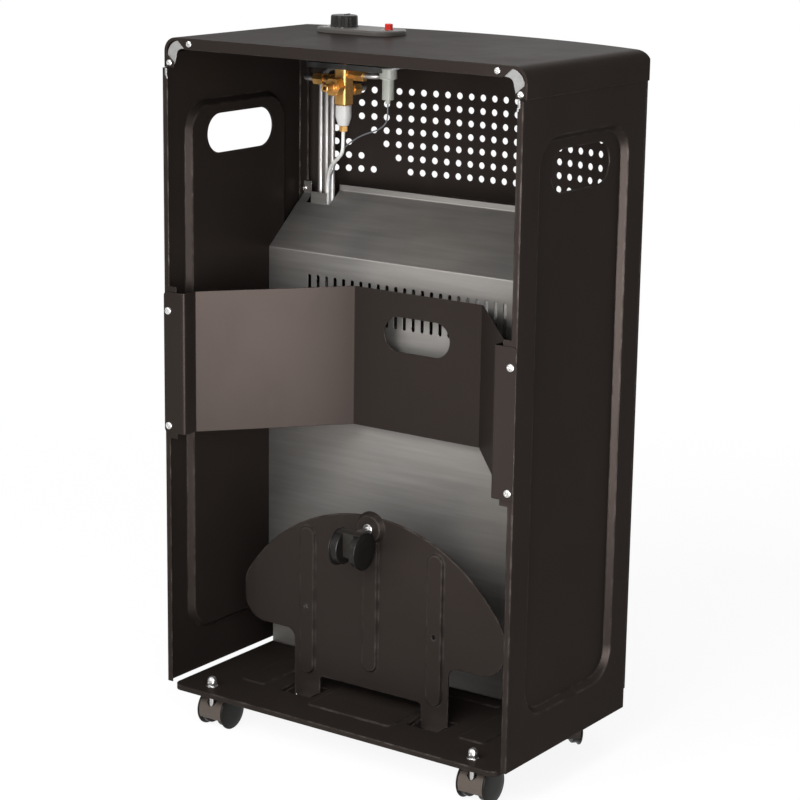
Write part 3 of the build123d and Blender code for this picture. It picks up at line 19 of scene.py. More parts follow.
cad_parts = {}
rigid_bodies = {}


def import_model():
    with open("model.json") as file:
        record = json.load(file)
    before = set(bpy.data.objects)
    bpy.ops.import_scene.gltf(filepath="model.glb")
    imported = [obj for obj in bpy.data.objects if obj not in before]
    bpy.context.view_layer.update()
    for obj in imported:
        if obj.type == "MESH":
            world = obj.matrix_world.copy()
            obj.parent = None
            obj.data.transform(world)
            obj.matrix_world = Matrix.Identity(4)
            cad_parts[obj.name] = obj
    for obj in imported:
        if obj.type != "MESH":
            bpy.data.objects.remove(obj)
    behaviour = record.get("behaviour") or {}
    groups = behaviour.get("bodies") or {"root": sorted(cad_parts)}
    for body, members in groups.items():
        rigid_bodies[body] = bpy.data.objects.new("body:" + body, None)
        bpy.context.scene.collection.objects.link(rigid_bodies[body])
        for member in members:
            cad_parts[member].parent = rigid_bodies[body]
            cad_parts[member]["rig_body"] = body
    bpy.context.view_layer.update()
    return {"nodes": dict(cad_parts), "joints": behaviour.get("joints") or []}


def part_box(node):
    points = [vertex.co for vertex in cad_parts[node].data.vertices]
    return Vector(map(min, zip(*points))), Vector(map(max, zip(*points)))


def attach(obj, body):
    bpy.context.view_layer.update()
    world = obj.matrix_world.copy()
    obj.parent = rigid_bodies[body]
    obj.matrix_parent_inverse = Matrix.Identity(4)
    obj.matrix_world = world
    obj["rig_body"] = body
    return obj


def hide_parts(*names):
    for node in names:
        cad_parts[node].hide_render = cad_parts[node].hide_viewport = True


bl_info = {
    "name": "Gas cabinet heater dressing",
    "version": (1, 0, 0),
    "blender": (4, 5, 0),
    "location": "3D View > Sidebar > Heater",
    "description": "Finishes, fasteners and trim for a portable gas cabinet heater",
    "category": "Object",
}

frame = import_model()

PAINT_ROUGHNESS = 0.34
PAINT_METAL = 0.45  # share of metal flakes in the powder paint
EDGE_TINT = 0.53  # how bright the paint's flakes stay at a grazing angle
PORT_PITCH = 520.0  # flame ports a metre on a burner plaque
SHADOW_REACH = 0.7  # radius in metres within which the floor shows the object's shadow
SHADOW_SHARE = 0.9  # how far the floor's own white outshines that shadow
FINISH = "_finish"  # ending of the finishes' names
MILLIMETRE = 0.001
REAR_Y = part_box("side_panel_right")[1].y  # rear edges of the side panels
BASE_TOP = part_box("side_panel_right")[0].z  # top face of the base plate
BEZEL_TOP = 671.0
CASING_HALF = 210.0
CASING_TOP = 666.0
CASTOR_X = 162.0
CASTOR_DEPTHS = (14.5, 190.0)
STEM_TRAIL = 14.0  # how far a castor's axle trails behind its stem
HOOD_ARC = (40, 203, 6)  # degrees from the trailing side up over the wheels, and the step
HOOD_WALL = 1.1
HOOD_HALF = 14.0  # half the hood's width
WEB_INSET = 0.6  # web between the wheels, inside the hood's outer face
WEB_HALF = 6.6
SHADE_SHEET = (252, 1.2, 11.0)  # dark sheet under the base, in front of the leg slots: painted shade that keeps the pale floor from showing through them
SHADE_SHEET_PLACE = (0, 82.0, -12.2)
SCREW_SHANK = 1.6  # radius
SCREW_DOME = ((0, 1), (0.45, 0.985), (0.72, 0.90), (0.90, 0.66), (0.985, 0.36))  # shares
SCREW_TURNS = (18, 64, -35, 80)  # degrees, how the cross recesses happened to stop
COVER_SCREWS = ((178.5, 660.5), (203.5, 641.0))  # across and up, on both sides
STRAP_SCREWS = ((203.5, 275.2), (203.5, 393.9))
SHIELD_SCREWS = ((200.0, 493.0),)
CONTROL_X = 117.5
BUTTON_X = 62.0
CONTROL_DEPTH = 175.0
SLEEVE_FOOT = 570.4  # lower end of the magnet unit
DIAL_START = -90  # degrees, the first tick
DIAL_STEP = 17.5
DIAL_TICKS = 13
DIGIT_EVERY = 4  # ticks from one digit to the next
DIGIT_RADIUS = 20.2
RAY_RADIUS = 7.2  # ring of rays round the igniter's button
PRINT = 0.12  # thickness of a printed mark
WHITE_ROUTE = (  # from the thermocouple's nut down through the shield's notch to the probe
    (117.5, 175, 568), (117.5, 175, 552), (120, 177, 540), (150, 197, 524), (165.5, 213.2, 505),
    (165.4, 212.6, 480), (165, 206.5, 190), (165, 206, 158), (150, 206, 158), (132, 206, 158),
    (118, 206, 158), (118, 219, 158), (118, 233, 158), (118, 233, 172),
)
GREY_ROUTE = (  # from the piezo igniter down through the same notch to the electrode
    (62, 175, 599), (62, 175, 590), (62.5, 175.2, 578), (78, 181, 568), (100, 188.5, 562),
    (122, 196, 552), (140, 202.5, 540), (158, 210.5, 515), (161.7, 211.8, 500),
    (161.5, 211, 480), (158.3, 199, 190), (158, 198, 166), (150, 198, 166), (136, 198, 166),
    (136, 210, 166), (136, 233, 166), (136, 233, 177),
)
REARWARD = Vector((0, 1, 0))
UPWARD = Vector((0, 0, 1))
LAMP_TARGET = Vector((0, 0, 0.36))
CAMERA_PLACE = Vector((-1.3370, 1.9324, 0.9290))
CAMERA_TURN = (34.989, 13.760, 0.839)  # yaw, dip and roll in degrees


def at(across, inwards, up):
    """Point in the frame, in metres, from three readings in millimetres."""
    return Vector((across * MILLIMETRE, REAR_Y - inwards * MILLIMETRE, BASE_TOP + up * MILLIMETRE))


# ---------------------------------------------------------------- settings shown to the user
def colour(name, about, default):
    return FloatVectorProperty(
        name=name, description=about, default=default, subtype="COLOR", size=3, min=0, max=1
    )


def length(name, about, default):
    return FloatProperty(
        name=name, description=about, default=default * MILLIMETRE, unit="LENGTH", min=0
    )


def power(name, about, default):
    return FloatProperty(name=name, description=about, default=default, unit="POWER", min=0)


class HeaterColours(bpy.types.PropertyGroup):
    """Base colours of the finishes."""

    paint: colour("Casing paint", "Baked powder paint of the sheet metal", (0.0235, 0.0188, 0.0168))
    zinc: colour("Zinc", "Plated fasteners and corner gussets", (0.52, 0.515, 0.50))
    shield: colour("Shield steel", "Aluminised sheet of the heat shield", (0.300, 0.289, 0.276))
    reflector: colour("Reflector", "Bright sheet around the burner", (0.68, 0.67, 0.65))
    chrome: colour("Chrome", "Plated wire guard, stems and cap nuts", (0.66, 0.65, 0.64))
    brass: colour("Brass", "Gas valve, nuts and inlet", (0.70, 0.40, 0.13))
    tube: colour("Tube", "Drawn aluminium gas tubes", (0.43, 0.415, 0.405))
    burner: colour("Burner steel", "Burner housing and pilot bracket", (0.33, 0.32, 0.31))
    # painted light: the hoods are the wheels' plastic, given a lighter tone for the key lamp's
    # light on their barrels
    hood: colour("Castor hood", "Castor hoods", (0.075, 0.060, 0.051))
    castor: colour("Castor wheel", "Castor wheels and their caps", (0.0085, 0.0076, 0.0066))
    control: colour("Control plastic", "Dial plate and knob", (0.0125, 0.0115, 0.0105))
    button: colour("Button", "Igniter's push button", (0.55, 0.022, 0.015))
    sleeve: colour("Sleeve", "White plastic over the magnet unit", (0.52, 0.51, 0.50))
    igniter: colour("Igniter body", "Pale plastic of the piezo igniter", (0.36, 0.37, 0.33))
    lead: colour("White lead", "Sleeved thermocouple lead", (0.64, 0.63, 0.61))
    wire: colour("Grey wire", "Insulated ignition wire", (0.13, 0.135, 0.15))
    ceramic: colour("Ceramic", "Glowing plaques of the burner", (0.72, 0.66, 0.56))
    marking: colour("Marking", "Printed marks of the dial", (0.74, 0.73, 0.70))


class HeaterSizes(bpy.types.PropertyGroup):
    """Sizes of the added pieces."""

    cover_screw: length("Cover screw head", "Diameter of the cover's screw heads", 6.6)
    strap_screw: length("Strap screw head", "Diameter of the strap's screw heads", 8.0)
    shield_screw: length("Shield screw head", "Diameter of the shield's screw heads", 6.0)
    recess: length("Drive recess", "Width of the cross recess in a screw head", 4.0)
    edge: length("Folded edge", "Radius that light finds on a folded sheet edge", 0.9)
    white_lead: length("White lead", "Thickness of the thermocouple's lead", 3.8)
    grey_wire: length("Grey wire", "Thickness of the ignition wire", 1.5)
    rib: length("Pressed rib", "Radius that light finds on a pressed rib's edge", 2.2)
    barrel: length("Castor barrel", "Radius of the castor hood over the treads", 18.4)
    nut_flange: length("Nut flange", "Diameter of the flange at a cap nut's foot", 12.8)
    mark: length("Dial mark", "Width of a printed dial mark", 0.7)
    digit: length("Dial digit", "Height of a digit on the dial", 4.4)


class HeaterStage(bpy.types.PropertyGroup):
    """Floor, background and light."""

    floor: colour("Floor", "Pale floor under the heater", (0.86, 0.86, 0.86))
    background: FloatProperty(
        name="Background", description="Brightness that the camera sees behind", default=1.0, min=0
    )
    ambient: FloatProperty(
        name="Ambient", description="Soft light from all round", default=0.45, min=0
    )
    key: power("Key lamp", "Low narrow softbox at the open side", 25)
    open_side: power("Open side lamp", "Wide softbox that looks in", 46)
    rear: power("Rear lamp", "Softbox beside the camera", 20)
    inner: power("Inner lamp", "Small softbox that lights the inside", 2.5)
    top: power("Top lamp", "Softbox overhead", 14)
    fill: power("Fill lamp", "Wide lamp from the front", 12)
    lens: FloatProperty(
        name="Lens", description="Focal length on a 36 mm frame", default=107.82, unit="CAMERA"
    )


# ---------------------------------------------------------------- shader sums
class Value:
    """A shader socket that takes part in sums and products."""

    def __init__(self, finish, socket):
        self.finish = finish
        self.socket = socket

    def sum(self, operation, first, second):
        return self.finish.node("ShaderNodeMath", {"operation": operation}, {0: first, 1: second})

    def __add__(self, other):
        return self.sum("ADD", self, other)

    def __radd__(self, other):
        return self.sum("ADD", other, self)

    def __sub__(self, other):
        return self.sum("SUBTRACT", self, other)

    def __rsub__(self, other):
        return self.sum("SUBTRACT", other, self)

    def __mul__(self, other):
        return self.sum("MULTIPLY", self, other)

    def __rmul__(self, other):
        return self.sum("MULTIPLY", other, self)


class Finish:
    """A procedural material, or the world's shader, under construction."""

    def __init__(self, name, tree=None):
        self.material = None
        if tree is None:
            self.material = bpy.data.materials.new(name + FINISH)
            self.material.use_nodes = True
            tree = self.material.node_tree
        self.tree = tree
        tree.nodes.clear()

    def node(self, kind, settings=None, inputs=None, output=0):
        """A node of any type: its settings first, then the values or links of its sockets."""
        made = self.tree.nodes.new(kind)
        for name, value in (settings or {}).items():
            setattr(made, name, value)
        for name, value in (inputs or {}).items():
            if isinstance(value, Value):
                self.tree.links.new(value.socket, made.inputs[name])
            else:
                made.inputs[name].default_value = value
        return Value(self, made.outputs[output]) if len(made.outputs) else None

    def place(self, scale=(1, 1, 1), centre=(0, 0, 0)):
        """Object coordinates, moved and stretched for a pattern."""
        spot = self.node("ShaderNodeTexCoord", output=3)
        inputs = {"Vector": spot, "Location": centre, "Scale": scale}
        return self.node("ShaderNodeMapping", {}, inputs)

    def noise(self, scale, detail=2.0, stretch=(1, 1, 1), rough=0.5):
        """Soft noise from 0 to 1; the scale is in cells a metre."""
        inputs = {
            "Vector": self.place(stretch),
            "Scale": scale,
            "Detail": detail,
            "Roughness": rough,
        }
        return self.node("ShaderNodeTexNoise", {"normalize": True}, inputs)

    def cells(self, scale, feature="F1"):
        """Distance field of scattered cells; the scale is in cells a metre."""
        inputs = {"Vector": self.place(), "Scale": scale}
        return self.node("ShaderNodeTexVoronoi", {"feature": feature}, inputs)

    def between(self, value, low, high, start=0.0, end=1.0):
        """The value's span from low to high, laid out from start to end."""
        inputs = {0: value, 1: low, 2: high, 3: start, 4: end}
        return self.node("ShaderNodeMapRange", {"clamp": True}, inputs)

    def mix(self, share, first, second):
        """Colour between two colours."""
        sockets = {0: share}
        for socket, part in ((6, first), (7, second)):
            sockets[socket] = part if isinstance(part, Value) else (*part, 1.0)
        return self.node("ShaderNodeMix", {"data_type": "RGBA"}, sockets, 2)

    def rounded(self, radius):
        """Surface direction with folded edges rounded by a radius."""
        return self.node("ShaderNodeBevel", {"samples": 4}, {"Radius": radius})

    def edges(self, radius):
        """Mask of the folded and cut edges."""
        flat = self.node("ShaderNodeNewGeometry", output=1)
        same = self.node(
            "ShaderNodeVectorMath",
            {"operation": "DOT_PRODUCT"},
            {0: self.rounded(radius), 1: flat},
            1,
        )
        return self.between(1 - same, 0.01, 0.16)

    def bump(self, height, distance, strength=1.0, normal=None):
        inputs = {"Strength": strength, "Distance": distance, "Height": height}
        if normal is not None:
            inputs["Normal"] = normal
        return self.node("ShaderNodeBump", {}, inputs)

    def surface(self, base, rough, normal=None, metal=0.0, coat=None, **constants):
        """Principled surface and its output. Constants go on the shader's own sockets."""
        inputs = {"Base Color": base, "Roughness": rough, "Metallic": metal}
        if not isinstance(base, Value):
            inputs["Base Color"] = (*base, 1.0)
        if normal is not None:
            inputs["Normal"] = normal
        if coat is not None:
            inputs["Coat Weight"] = coat
        for name, value in constants.items():
            inputs[name.replace("_", " ").replace("Ior", "IOR")] = value
        shader = self.node("ShaderNodeBsdfPrincipled", {}, inputs)
        self.node("ShaderNodeOutputMaterial", {}, {"Surface": shader})
        return self.material


def scaled(base, factor):
    return tuple(min(1.0, channel * factor) for channel in base)


def blended(first, second, share):
    return tuple(a + (b - a) * share for a, b in zip(first, second))


# ---------------------------------------------------------------- finishes
def powder_paint(name, base, edge):
    """Dark metallic powder paint: orange peel, soft mottling, rubbed edges and handling marks."""
    paint = Finish(name)
    mottle = paint.noise(9, 4)
    rub = paint.noise(38, 5, (1, 1, 0.35), 0.6)
    peel = paint.noise(620, 2)
    grain = paint.noise(2300, 1)
    wear = paint.edges(edge * 1.3) * paint.between(paint.noise(70, 4), 0.42, 0.68)
    tone = paint.mix(mottle, scaled(base, 0.88), scaled(base, 1.14))
    tone = paint.mix(paint.between(grain, 0.58, 0.8) * 0.35, tone, scaled(base, 2.2))
    tone = paint.mix(paint.between(rub, 0.62, 0.85) * 0.3, tone, scaled(base, 1.9))
    tone = paint.mix(wear * 0.55, tone, blended(base, (0.22, 0.20, 0.18), 0.5))
    dull = paint.between(mottle, 0.3, 0.7, PAINT_ROUGHNESS - 0.03, PAINT_ROUGHNESS + 0.04)
    dull = dull + paint.between(rub, 0.5, 0.9) * 0.06
    relief = paint.bump(peel + grain * 0.35, 0.00003, 0.35, paint.rounded(edge))
    return paint.surface(
        tone,
        dull,
        relief,
        PAINT_METAL,
        Specular_Ior_Level=0.0,
        Specular_Tint=(*(EDGE_TINT,) * 3, 1.0),
    )


def plated(name, base, rough):
    """Zinc plating: faint crystals, a cool bloom and small dull specks."""
    zinc = Finish(name)
    crystal = zinc.cells(420)
    bloom = zinc.noise(60, 4)
    speck = zinc.noise(1500, 2)
    tone = zinc.mix(crystal, scaled(base, 0.90), scaled(base, 1.10))
    cool = blended(base, (0.45, 0.47, 0.52), 0.6)
    tone = zinc.mix(zinc.between(bloom, 0.45, 0.75) * 0.4, tone, cool)
    tone = zinc.mix(zinc.between(speck, 0.62, 0.8) * 0.3, tone, scaled(base, 0.55))
    dull = zinc.between(bloom, 0.3, 0.7, rough - 0.05, rough + 0.09)
    relief = zinc.bump(crystal + speck * 0.5, 0.00002, 0.4, zinc.rounded(0.0004))
    return zinc.surface(tone, dull, relief, 1.0)


def rolled_sheet(name, base, rough, heat):
    """Mill-rolled sheet: long streaks along the roll, hazy patches and a heat tint."""
    sheet = Finish(name)
    roll = sheet.noise(150, 5, (0.06, 1, 1), 0.62)
    band = sheet.noise(16, 4, (0.18, 1, 1))
    haze = sheet.noise(7, 3)
    fine = sheet.noise(1700, 2, (0.05, 1, 1))
    tone = sheet.mix(band, scaled(base, 0.78), scaled(base, 1.18))
    tone = sheet.mix(sheet.between(roll, 0.4, 0.75) * 0.5, tone, scaled(base, 1.35))
    tone = sheet.mix(sheet.between(haze, 0.45, 0.75) * heat, tone, (0.30, 0.25, 0.20))
    dull = sheet.between(haze, 0.3, 0.7, rough - 0.05, rough + 0.08) + roll * 0.06
    relief = sheet.bump(fine * 0.6 + roll, 0.00002, 0.5, sheet.rounded(0.0006))
    return sheet.surface(tone, dull, relief, 1.0)


def drawn_metal(name, base, rough, along):
    """Drawn or turned metal: hair lines along one direction, smears and a few pits."""
    metal = Finish(name)
    lines = metal.noise(1900, 3, along, 0.6)
    smear = metal.noise(45, 4)
    pit = metal.between(metal.noise(900, 3), 0.64, 0.78)
    tone = metal.mix(lines, scaled(base, 0.86), scaled(base, 1.10))
    tone = metal.mix(metal.between(smear, 0.45, 0.8) * 0.35, tone, scaled(base, 0.66))
    tone = metal.mix(pit * 0.25, tone, scaled(base, 0.35))
    dull = metal.between(smear, 0.3, 0.75, rough - 0.04, rough + 0.12) + lines * 0.05
    relief = metal.bump(lines, 0.00002, 0.45, metal.rounded(0.0004))
    return metal.surface(tone, dull, relief, 1.0)


def cast_brass(name, base):
    """Hot-pressed brass: a sandy skin, darker hollows, brighter rubbed edges."""
    brass = Finish(name)
    skin = brass.noise(1300, 3)
    patch = brass.noise(90, 4)
    rubbed = brass.edges(0.0008)
    tone = brass.mix(brass.between(patch, 0.3, 0.7), scaled(base, 0.72), scaled(base, 1.06))
    tone = brass.mix(brass.between(skin, 0.55, 0.8) * 0.4, tone, scaled(base, 0.5))
    tone = brass.mix(rubbed * 0.5, tone, blended(base, (0.92, 0.70, 0.36), 0.6))
    dull = brass.between(skin, 0.3, 0.7, 0.36, 0.50) + patch * 0.05
    relief = brass.bump(skin + patch * 0.3, 0.00004, 0.45, brass.rounded(0.0005))
    return brass.surface(tone, dull, relief, 1.0)


def moulded(name, base, rough, texture=1.0, edge=0.0006, gloss=0.28):
    """Moulded plastic: an even fine texture, flow marks and slightly polished edges."""
    plastic = Finish(name)
    grain = plastic.noise(1500, 2)
    flow = plastic.noise(24, 4, (1, 1, 0.4))
    rubbed = plastic.edges(edge * 1.4)
    dust = plastic.noise(260, 4)
    tone = plastic.mix(flow, scaled(base, 0.90), scaled(base, 1.12))
    dusty = blended(base, (0.5, 0.5, 0.5), 0.25)
    tone = plastic.mix(plastic.between(dust, 0.60, 0.82) * 0.10, tone, dusty)
    tone = plastic.mix(rubbed * 0.35, tone, scaled(base, 1.7))
    dull = plastic.between(grain, 0.3, 0.7, rough - 0.03, rough + 0.05) - rubbed * 0.1
    relief = plastic.bump(grain * texture + flow * 0.3, 0.00003, 0.5, plastic.rounded(edge))
    return plastic.surface(tone, dull, relief, Specular_Ior_Level=gloss)


def sleeved_wire(name, base, rough):
    """Sleeved lead: slightly wavy, softly soiled by handling."""
    lead = Finish(name)
    soil = lead.noise(40, 4)
    weave = lead.noise(1600, 1)
    tone = lead.mix(lead.between(soil, 0.4, 0.75) * 0.5, base, scaled(base, 0.72))
    tone = lead.mix(weave * 0.2, tone, scaled(base, 0.8))
    dull = lead.between(soil, 0.3, 0.7, rough - 0.05, rough + 0.08)
    relief = lead.bump(weave + lead.noise(220, 2) * 0.5, 0.00004, 0.5)
    return lead.surface(tone, dull, relief, Specular_Ior_Level=0.4)


def pierced_ceramic(name, base, glow):
    """Burner plaque: hundreds of small flame ports on a staggered grid, filled near-black as
    painted shade inside them, with heat-browned rims.
    """
    plaque = Finish(name)
    near = None
    for shift in (0.0, 0.5):
        spot = plaque.place((PORT_PITCH, PORT_PITCH, PORT_PITCH * 0.58), (shift, 0, shift))
        cell = plaque.node("ShaderNodeVectorMath", {"operation": "FRACTION"}, {0: spot})
        parts = plaque.node("ShaderNodeSeparateXYZ", {}, {0: cell})
        across = Value(plaque, parts.socket.node.outputs["X"]) - 0.5
        up = (Value(plaque, parts.socket.node.outputs["Z"]) - 0.5) * 1.72
        reach = across * across + up * up
        near = reach if near is None else plaque.node(
            "ShaderNodeMath", {"operation": "MINIMUM"}, {0: near, 1: reach}
        )
    port = plaque.between(near, 0.055, 0.085, 1.0, 0.0)
    bisque = plaque.noise(1400, 3)
    burn = plaque.noise(30, 4)
    tone = plaque.mix(bisque, scaled(base, 0.92), scaled(base, 1.06))
    tone = plaque.mix(plaque.between(burn, 0.4, 0.8) * 0.5, tone, blended(base, glow, 0.5))
    # painted shade: the flame ports are filled near-black for the shade inside the holes
    tone = plaque.mix(port * 0.92, tone, (0.035, 0.028, 0.022))
    relief = plaque.bump(bisque * 0.15 - port, 0.0006, 0.8)
    return plaque.surface(tone, 0.86 + bisque * 0.08, relief, Specular_Ior_Level=0.2)


def glazed(name, base):
    """Glazed insulator: smooth white glaze with faint crazing."""
    glaze = Finish(name)
    craze = glaze.cells(900, feature="DISTANCE_TO_EDGE")
    cloud = glaze.noise(180, 3)
    tone = glaze.mix(cloud, scaled(base, 0.92), base)
    tone = glaze.mix(glaze.between(craze, 0.0, 0.05, 0.3, 0.0), tone, scaled(base, 0.5))
    dull = glaze.between(cloud, 0.3, 0.7, 0.14, 0.24)
    return glaze.surface(tone, dull, glaze.bump(cloud, 0.00003, 0.3))


def made_finish(name):
    """A finish that an earlier operator made."""
    return bpy.data.materials[name + FINISH]


def dress(finish, *nodes):
    """Gives CAD nodes a finish."""
    for name in nodes:
        node = frame["nodes"][name]
        if not node.material_slots:
            node.data.materials.append(finish)
        for holder in node.material_slots:
            holder.material = finish


# ---------------------------------------------------------------- forms
def turned(profile, steps=32):
    """Turned form about Z, in millimetres, from (radius, height) points of its outline."""
    form = bmesh.new()
    outline = [form.verts.new((radius, 0, height)) for radius, height in profile]
    rim = [form.edges.new(pair) for pair in zip(outline, outline[1:])]
    bmesh.ops.spin(
        form,
        geom=outline + rim,
        cent=(0, 0, 0),
        axis=(0, 0, 1),
        angle=2 * pi,
        steps=steps,
        use_merge=True,
    )
    bmesh.ops.remove_doubles(form, verts=form.verts, dist=1e-4)
    bmesh.ops.recalc_face_normals(form, faces=form.faces)
    return form


def block(across, along, up, edge=0.0):
    """Block standing on Z 0, in millimetres, its edges rounded."""
    form = bmesh.new()
    bmesh.ops.create_cube(form, size=1)
    bmesh.ops.translate(form, verts=form.verts, vec=(0, 0, 0.5))
    bmesh.ops.scale(form, verts=form.verts, vec=(across, along, up))
    if edge > 0:
        bmesh.ops.bevel(
            form,
            geom=form.edges[:],
            offset=edge,
            affect="EDGES",
            segments=2,
            profile=0.5,
            material=-1,
        )
    return form


def sheet(outline, thickness):
    """Flat piece: an outline of points, thickened along a vector."""
    form = bmesh.new()
    face = form.faces.new([form.verts.new(point) for point in outline])
    grown = bmesh.ops.extrude_face_region(form, geom=[face])["geom"]
    bmesh.ops.translate(
        form, verts=[part for part in grown if isinstance(part, bmesh.types.BMVert)], vec=thickness
    )
    bmesh.ops.recalc_face_normals(form, faces=form.faces)
    return form


def meshed(line, merge):
    """Form of a curve or a text, which is then removed."""
    holder = bpy.data.objects.new("line", line)
    bpy.context.scene.collection.objects.link(holder)
    bpy.context.view_layer.update()
    seen = holder.evaluated_get(bpy.context.evaluated_depsgraph_get())
    mesh = bpy.data.meshes.new_from_object(seen)
    form = bmesh.new()
    form.from_mesh(mesh)
    bpy.data.meshes.remove(mesh)
    bpy.data.objects.remove(holder)
    bpy.data.curves.remove(line)
    bmesh.ops.remove_doubles(form, verts=form.verts, dist=merge)
    return form


def swept(points, radius):
    """Round lead of a radius along a smooth line that is drawn to a run of points."""
    line = bpy.data.curves.new("lead", "CURVE")
    line.dimensions = "3D"
    line.bevel_depth = radius
    line.bevel_resolution = 4
    line.use_fill_caps = True
    run = line.splines.new("NURBS")
    run.points.add(len(points) - 1)
    for control, point in zip(run.points, points):
        control.co = (*point, 1)
    run.order_u = 3
    run.resolution_u = 10
    run.use_endpoint_u = True
    form = meshed(line, 1e-6)
    bmesh.ops.recalc_face_normals(form, faces=form.faces)
    return form


def less(form, cutter):
    """The form with a cutter's shape taken out of it."""
    holders = []
    for name, shape in (("cut_form", form), ("cut_tool", cutter)):
        mesh = bpy.data.meshes.new(name)
        shape.to_mesh(mesh)
        shape.free()
        holder = bpy.data.objects.new(name, mesh)
        bpy.context.scene.collection.objects.link(holder)
        holders.append(holder)
    cut = holders[0].modifiers.new("cut", "BOOLEAN")
    cut.operation = "DIFFERENCE"
    cut.solver = "EXACT"
    cut.object = holders[1]
    bpy.context.view_layer.update()
    result = bmesh.new()
    result.from_object(holders[0], bpy.context.evaluated_depsgraph_get())
    for holder in holders:
        mesh = holder.data
        bpy.data.objects.remove(holder)
        bpy.data.meshes.remove(mesh)
    return result


def facing(point, direction, turn=0.0):
    """Matrix that stands a millimetre form on a point, its Z along a direction."""
    upright = direction.to_track_quat("Z", "Y").to_matrix().to_4x4()
    spin = Matrix.Rotation(radians(turn), 4, "Z")
    return Matrix.Translation(point) @ upright @ spin @ Matrix.Scale(MILLIMETRE, 4)


class Piece:
    """A new piece, gathered from forms that are set in their places."""

    def __init__(self, name):
        self.name = name
        self.form = bmesh.new()

    def add(self, form, matrix):
        """Sets a copy of a form in place."""
        mesh = bpy.data.meshes.new("part")
        form.to_mesh(mesh)
        mesh.transform(matrix)
        self.form.from_mesh(mesh)
        bpy.data.meshes.remove(mesh)

    def make(self, body, finish, slot, *stands_for, smooth=35):
        """Turns the gathered forms into an object that rides on a body."""
        mesh = bpy.data.meshes.new(self.name)
        self.form.to_mesh(mesh)
        self.form.free()
        mesh.polygons.foreach_set("use_smooth", [True] * len(mesh.polygons))
        mesh.set_sharp_from_angle(angle=radians(smooth))
        mesh.materials.append(finish)
        made = bpy.data.objects.new(self.name, mesh)
        bpy.context.scene.collection.objects.link(made)
        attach(made, body)
        if stands_for:
            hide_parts(*stands_for)
        return made


def screw_form(radius, height, recess, shank, reach):
    """Pan-head screw: domed head above Z 0 with a cross recess, shank below."""
    outline = [(radius * out, height * up) for out, up in SCREW_DOME]
    outline += [(radius, 0.05), (radius * 0.96, 0), (shank, 0), (shank, -reach), (0, -reach)]
    head = turned(outline)
    for turn in (0, 90):
        blade = block(recess, recess * 0.24, height)
        bmesh.ops.translate(blade, verts=blade.verts, vec=(0, 0, height * 0.42))
        bmesh.ops.rotate(blade, verts=blade.verts, matrix=Matrix.Rotation(radians(turn), 3, "Z"))
        head = less(head, blade)
    return head


def digit_form(text, height):
    """Flat digit, its middle at the origin and its height along Y, in millimetres."""
    line = bpy.data.curves.new("digit", "FONT")
    line.body = text
    line.size = height / 0.7
    line.align_x = "CENTER"
    line.align_y = "CENTER"
    line.extrude = 0.06
    return meshed(line, 1e-4)


# ---------------------------------------------------------------- operators
class HEATER_OT_sheet_metal(bpy.types.Operator):
    """Paint the casing, base, strap and platform, and finish the shield and reflector"""

    bl_idname = "heater.sheet_metal"
    bl_label = "Sheet metal"

    def execute(self, context):
        colours = context.scene.heater_colours
        sizes = context.scene.heater_sizes
        paint = powder_paint("casing_paint", tuple(colours.paint), sizes.edge)
        pressed = powder_paint("pressed_paint", tuple(colours.paint), sizes.rib)
        folded = ("top_cover", "front_vent_panel", "front_panel", "bottle_strap", "hinge_lugs")
        dress(paint, *folded)
        dress(pressed, "side_panel_right", "side_panel_left", "base_plate", "bottle_platform")
        dress(rolled_sheet("shield_steel", tuple(colours.shield), 0.50, 0.35), "heat_shield")
        dress(rolled_sheet("polished_steel", tuple(colours.reflector), 0.16, 0.25), "reflector")
        dress(
            rolled_sheet("burner_steel", tuple(colours.burner), 0.36, 0.8),
            "burner_housing",
            "pilot_bracket",
        )
        return {"FINISHED"}


class HEATER_OT_bare_metal(bpy.types.Operator):
    """Finish the plated, drawn and turned metal pieces"""

    bl_idname = "heater.bare_metal"
    bl_label = "Bare metal"

    def execute(self, context):
        colours = context.scene.heater_colours
        dress(plated("zinc", tuple(colours.zinc), 0.38), "hinge_pins", "burner_brackets")
        # painted shade: the valve bracket's zinc at a sixth of its brightness, for the shadow it
        # lies in under the rear flange
        dress(plated("bracket_zinc", scaled(colours.zinc, 0.16), 0.40), "valve_bracket")
        guard = [name for name in frame["nodes"] if name.startswith(("front_guard", "guard_"))]
        dress(drawn_metal("guard_chrome", tuple(colours.chrome), 0.14, (1, 1, 1)), *guard)
        stem_chrome = drawn_metal("stem_chrome", scaled(colours.chrome, 0.72), 0.24, (1, 1, 0.1))
        dress(stem_chrome, "platform_nut")
        dress(drawn_metal("spindle_steel", (0.50, 0.49, 0.47), 0.28, (1, 1, 0.05)), "valve_spindle")
        probe = drawn_metal("probe_steel", (0.42, 0.40, 0.37), 0.3, (1, 1, 0.05))
        dress(probe, "thermocouple_probe")
        dress(
            cast_brass("brass", tuple(colours.brass)),
            "gas_valve_body",
            "tube_nuts",
            "gas_inlet",
            "thermocouple_nut",
            "injector_block",
            "pilot_burner",
        )
        dress(
            drawn_metal("tube_aluminium", tuple(colours.tube), 0.44, (1, 1, 0.03)),
            "gas_tube_right",
            "gas_tube_left",
            "gas_tube_front",
            "pilot_tube",
        )
        return {"FINISHED"}


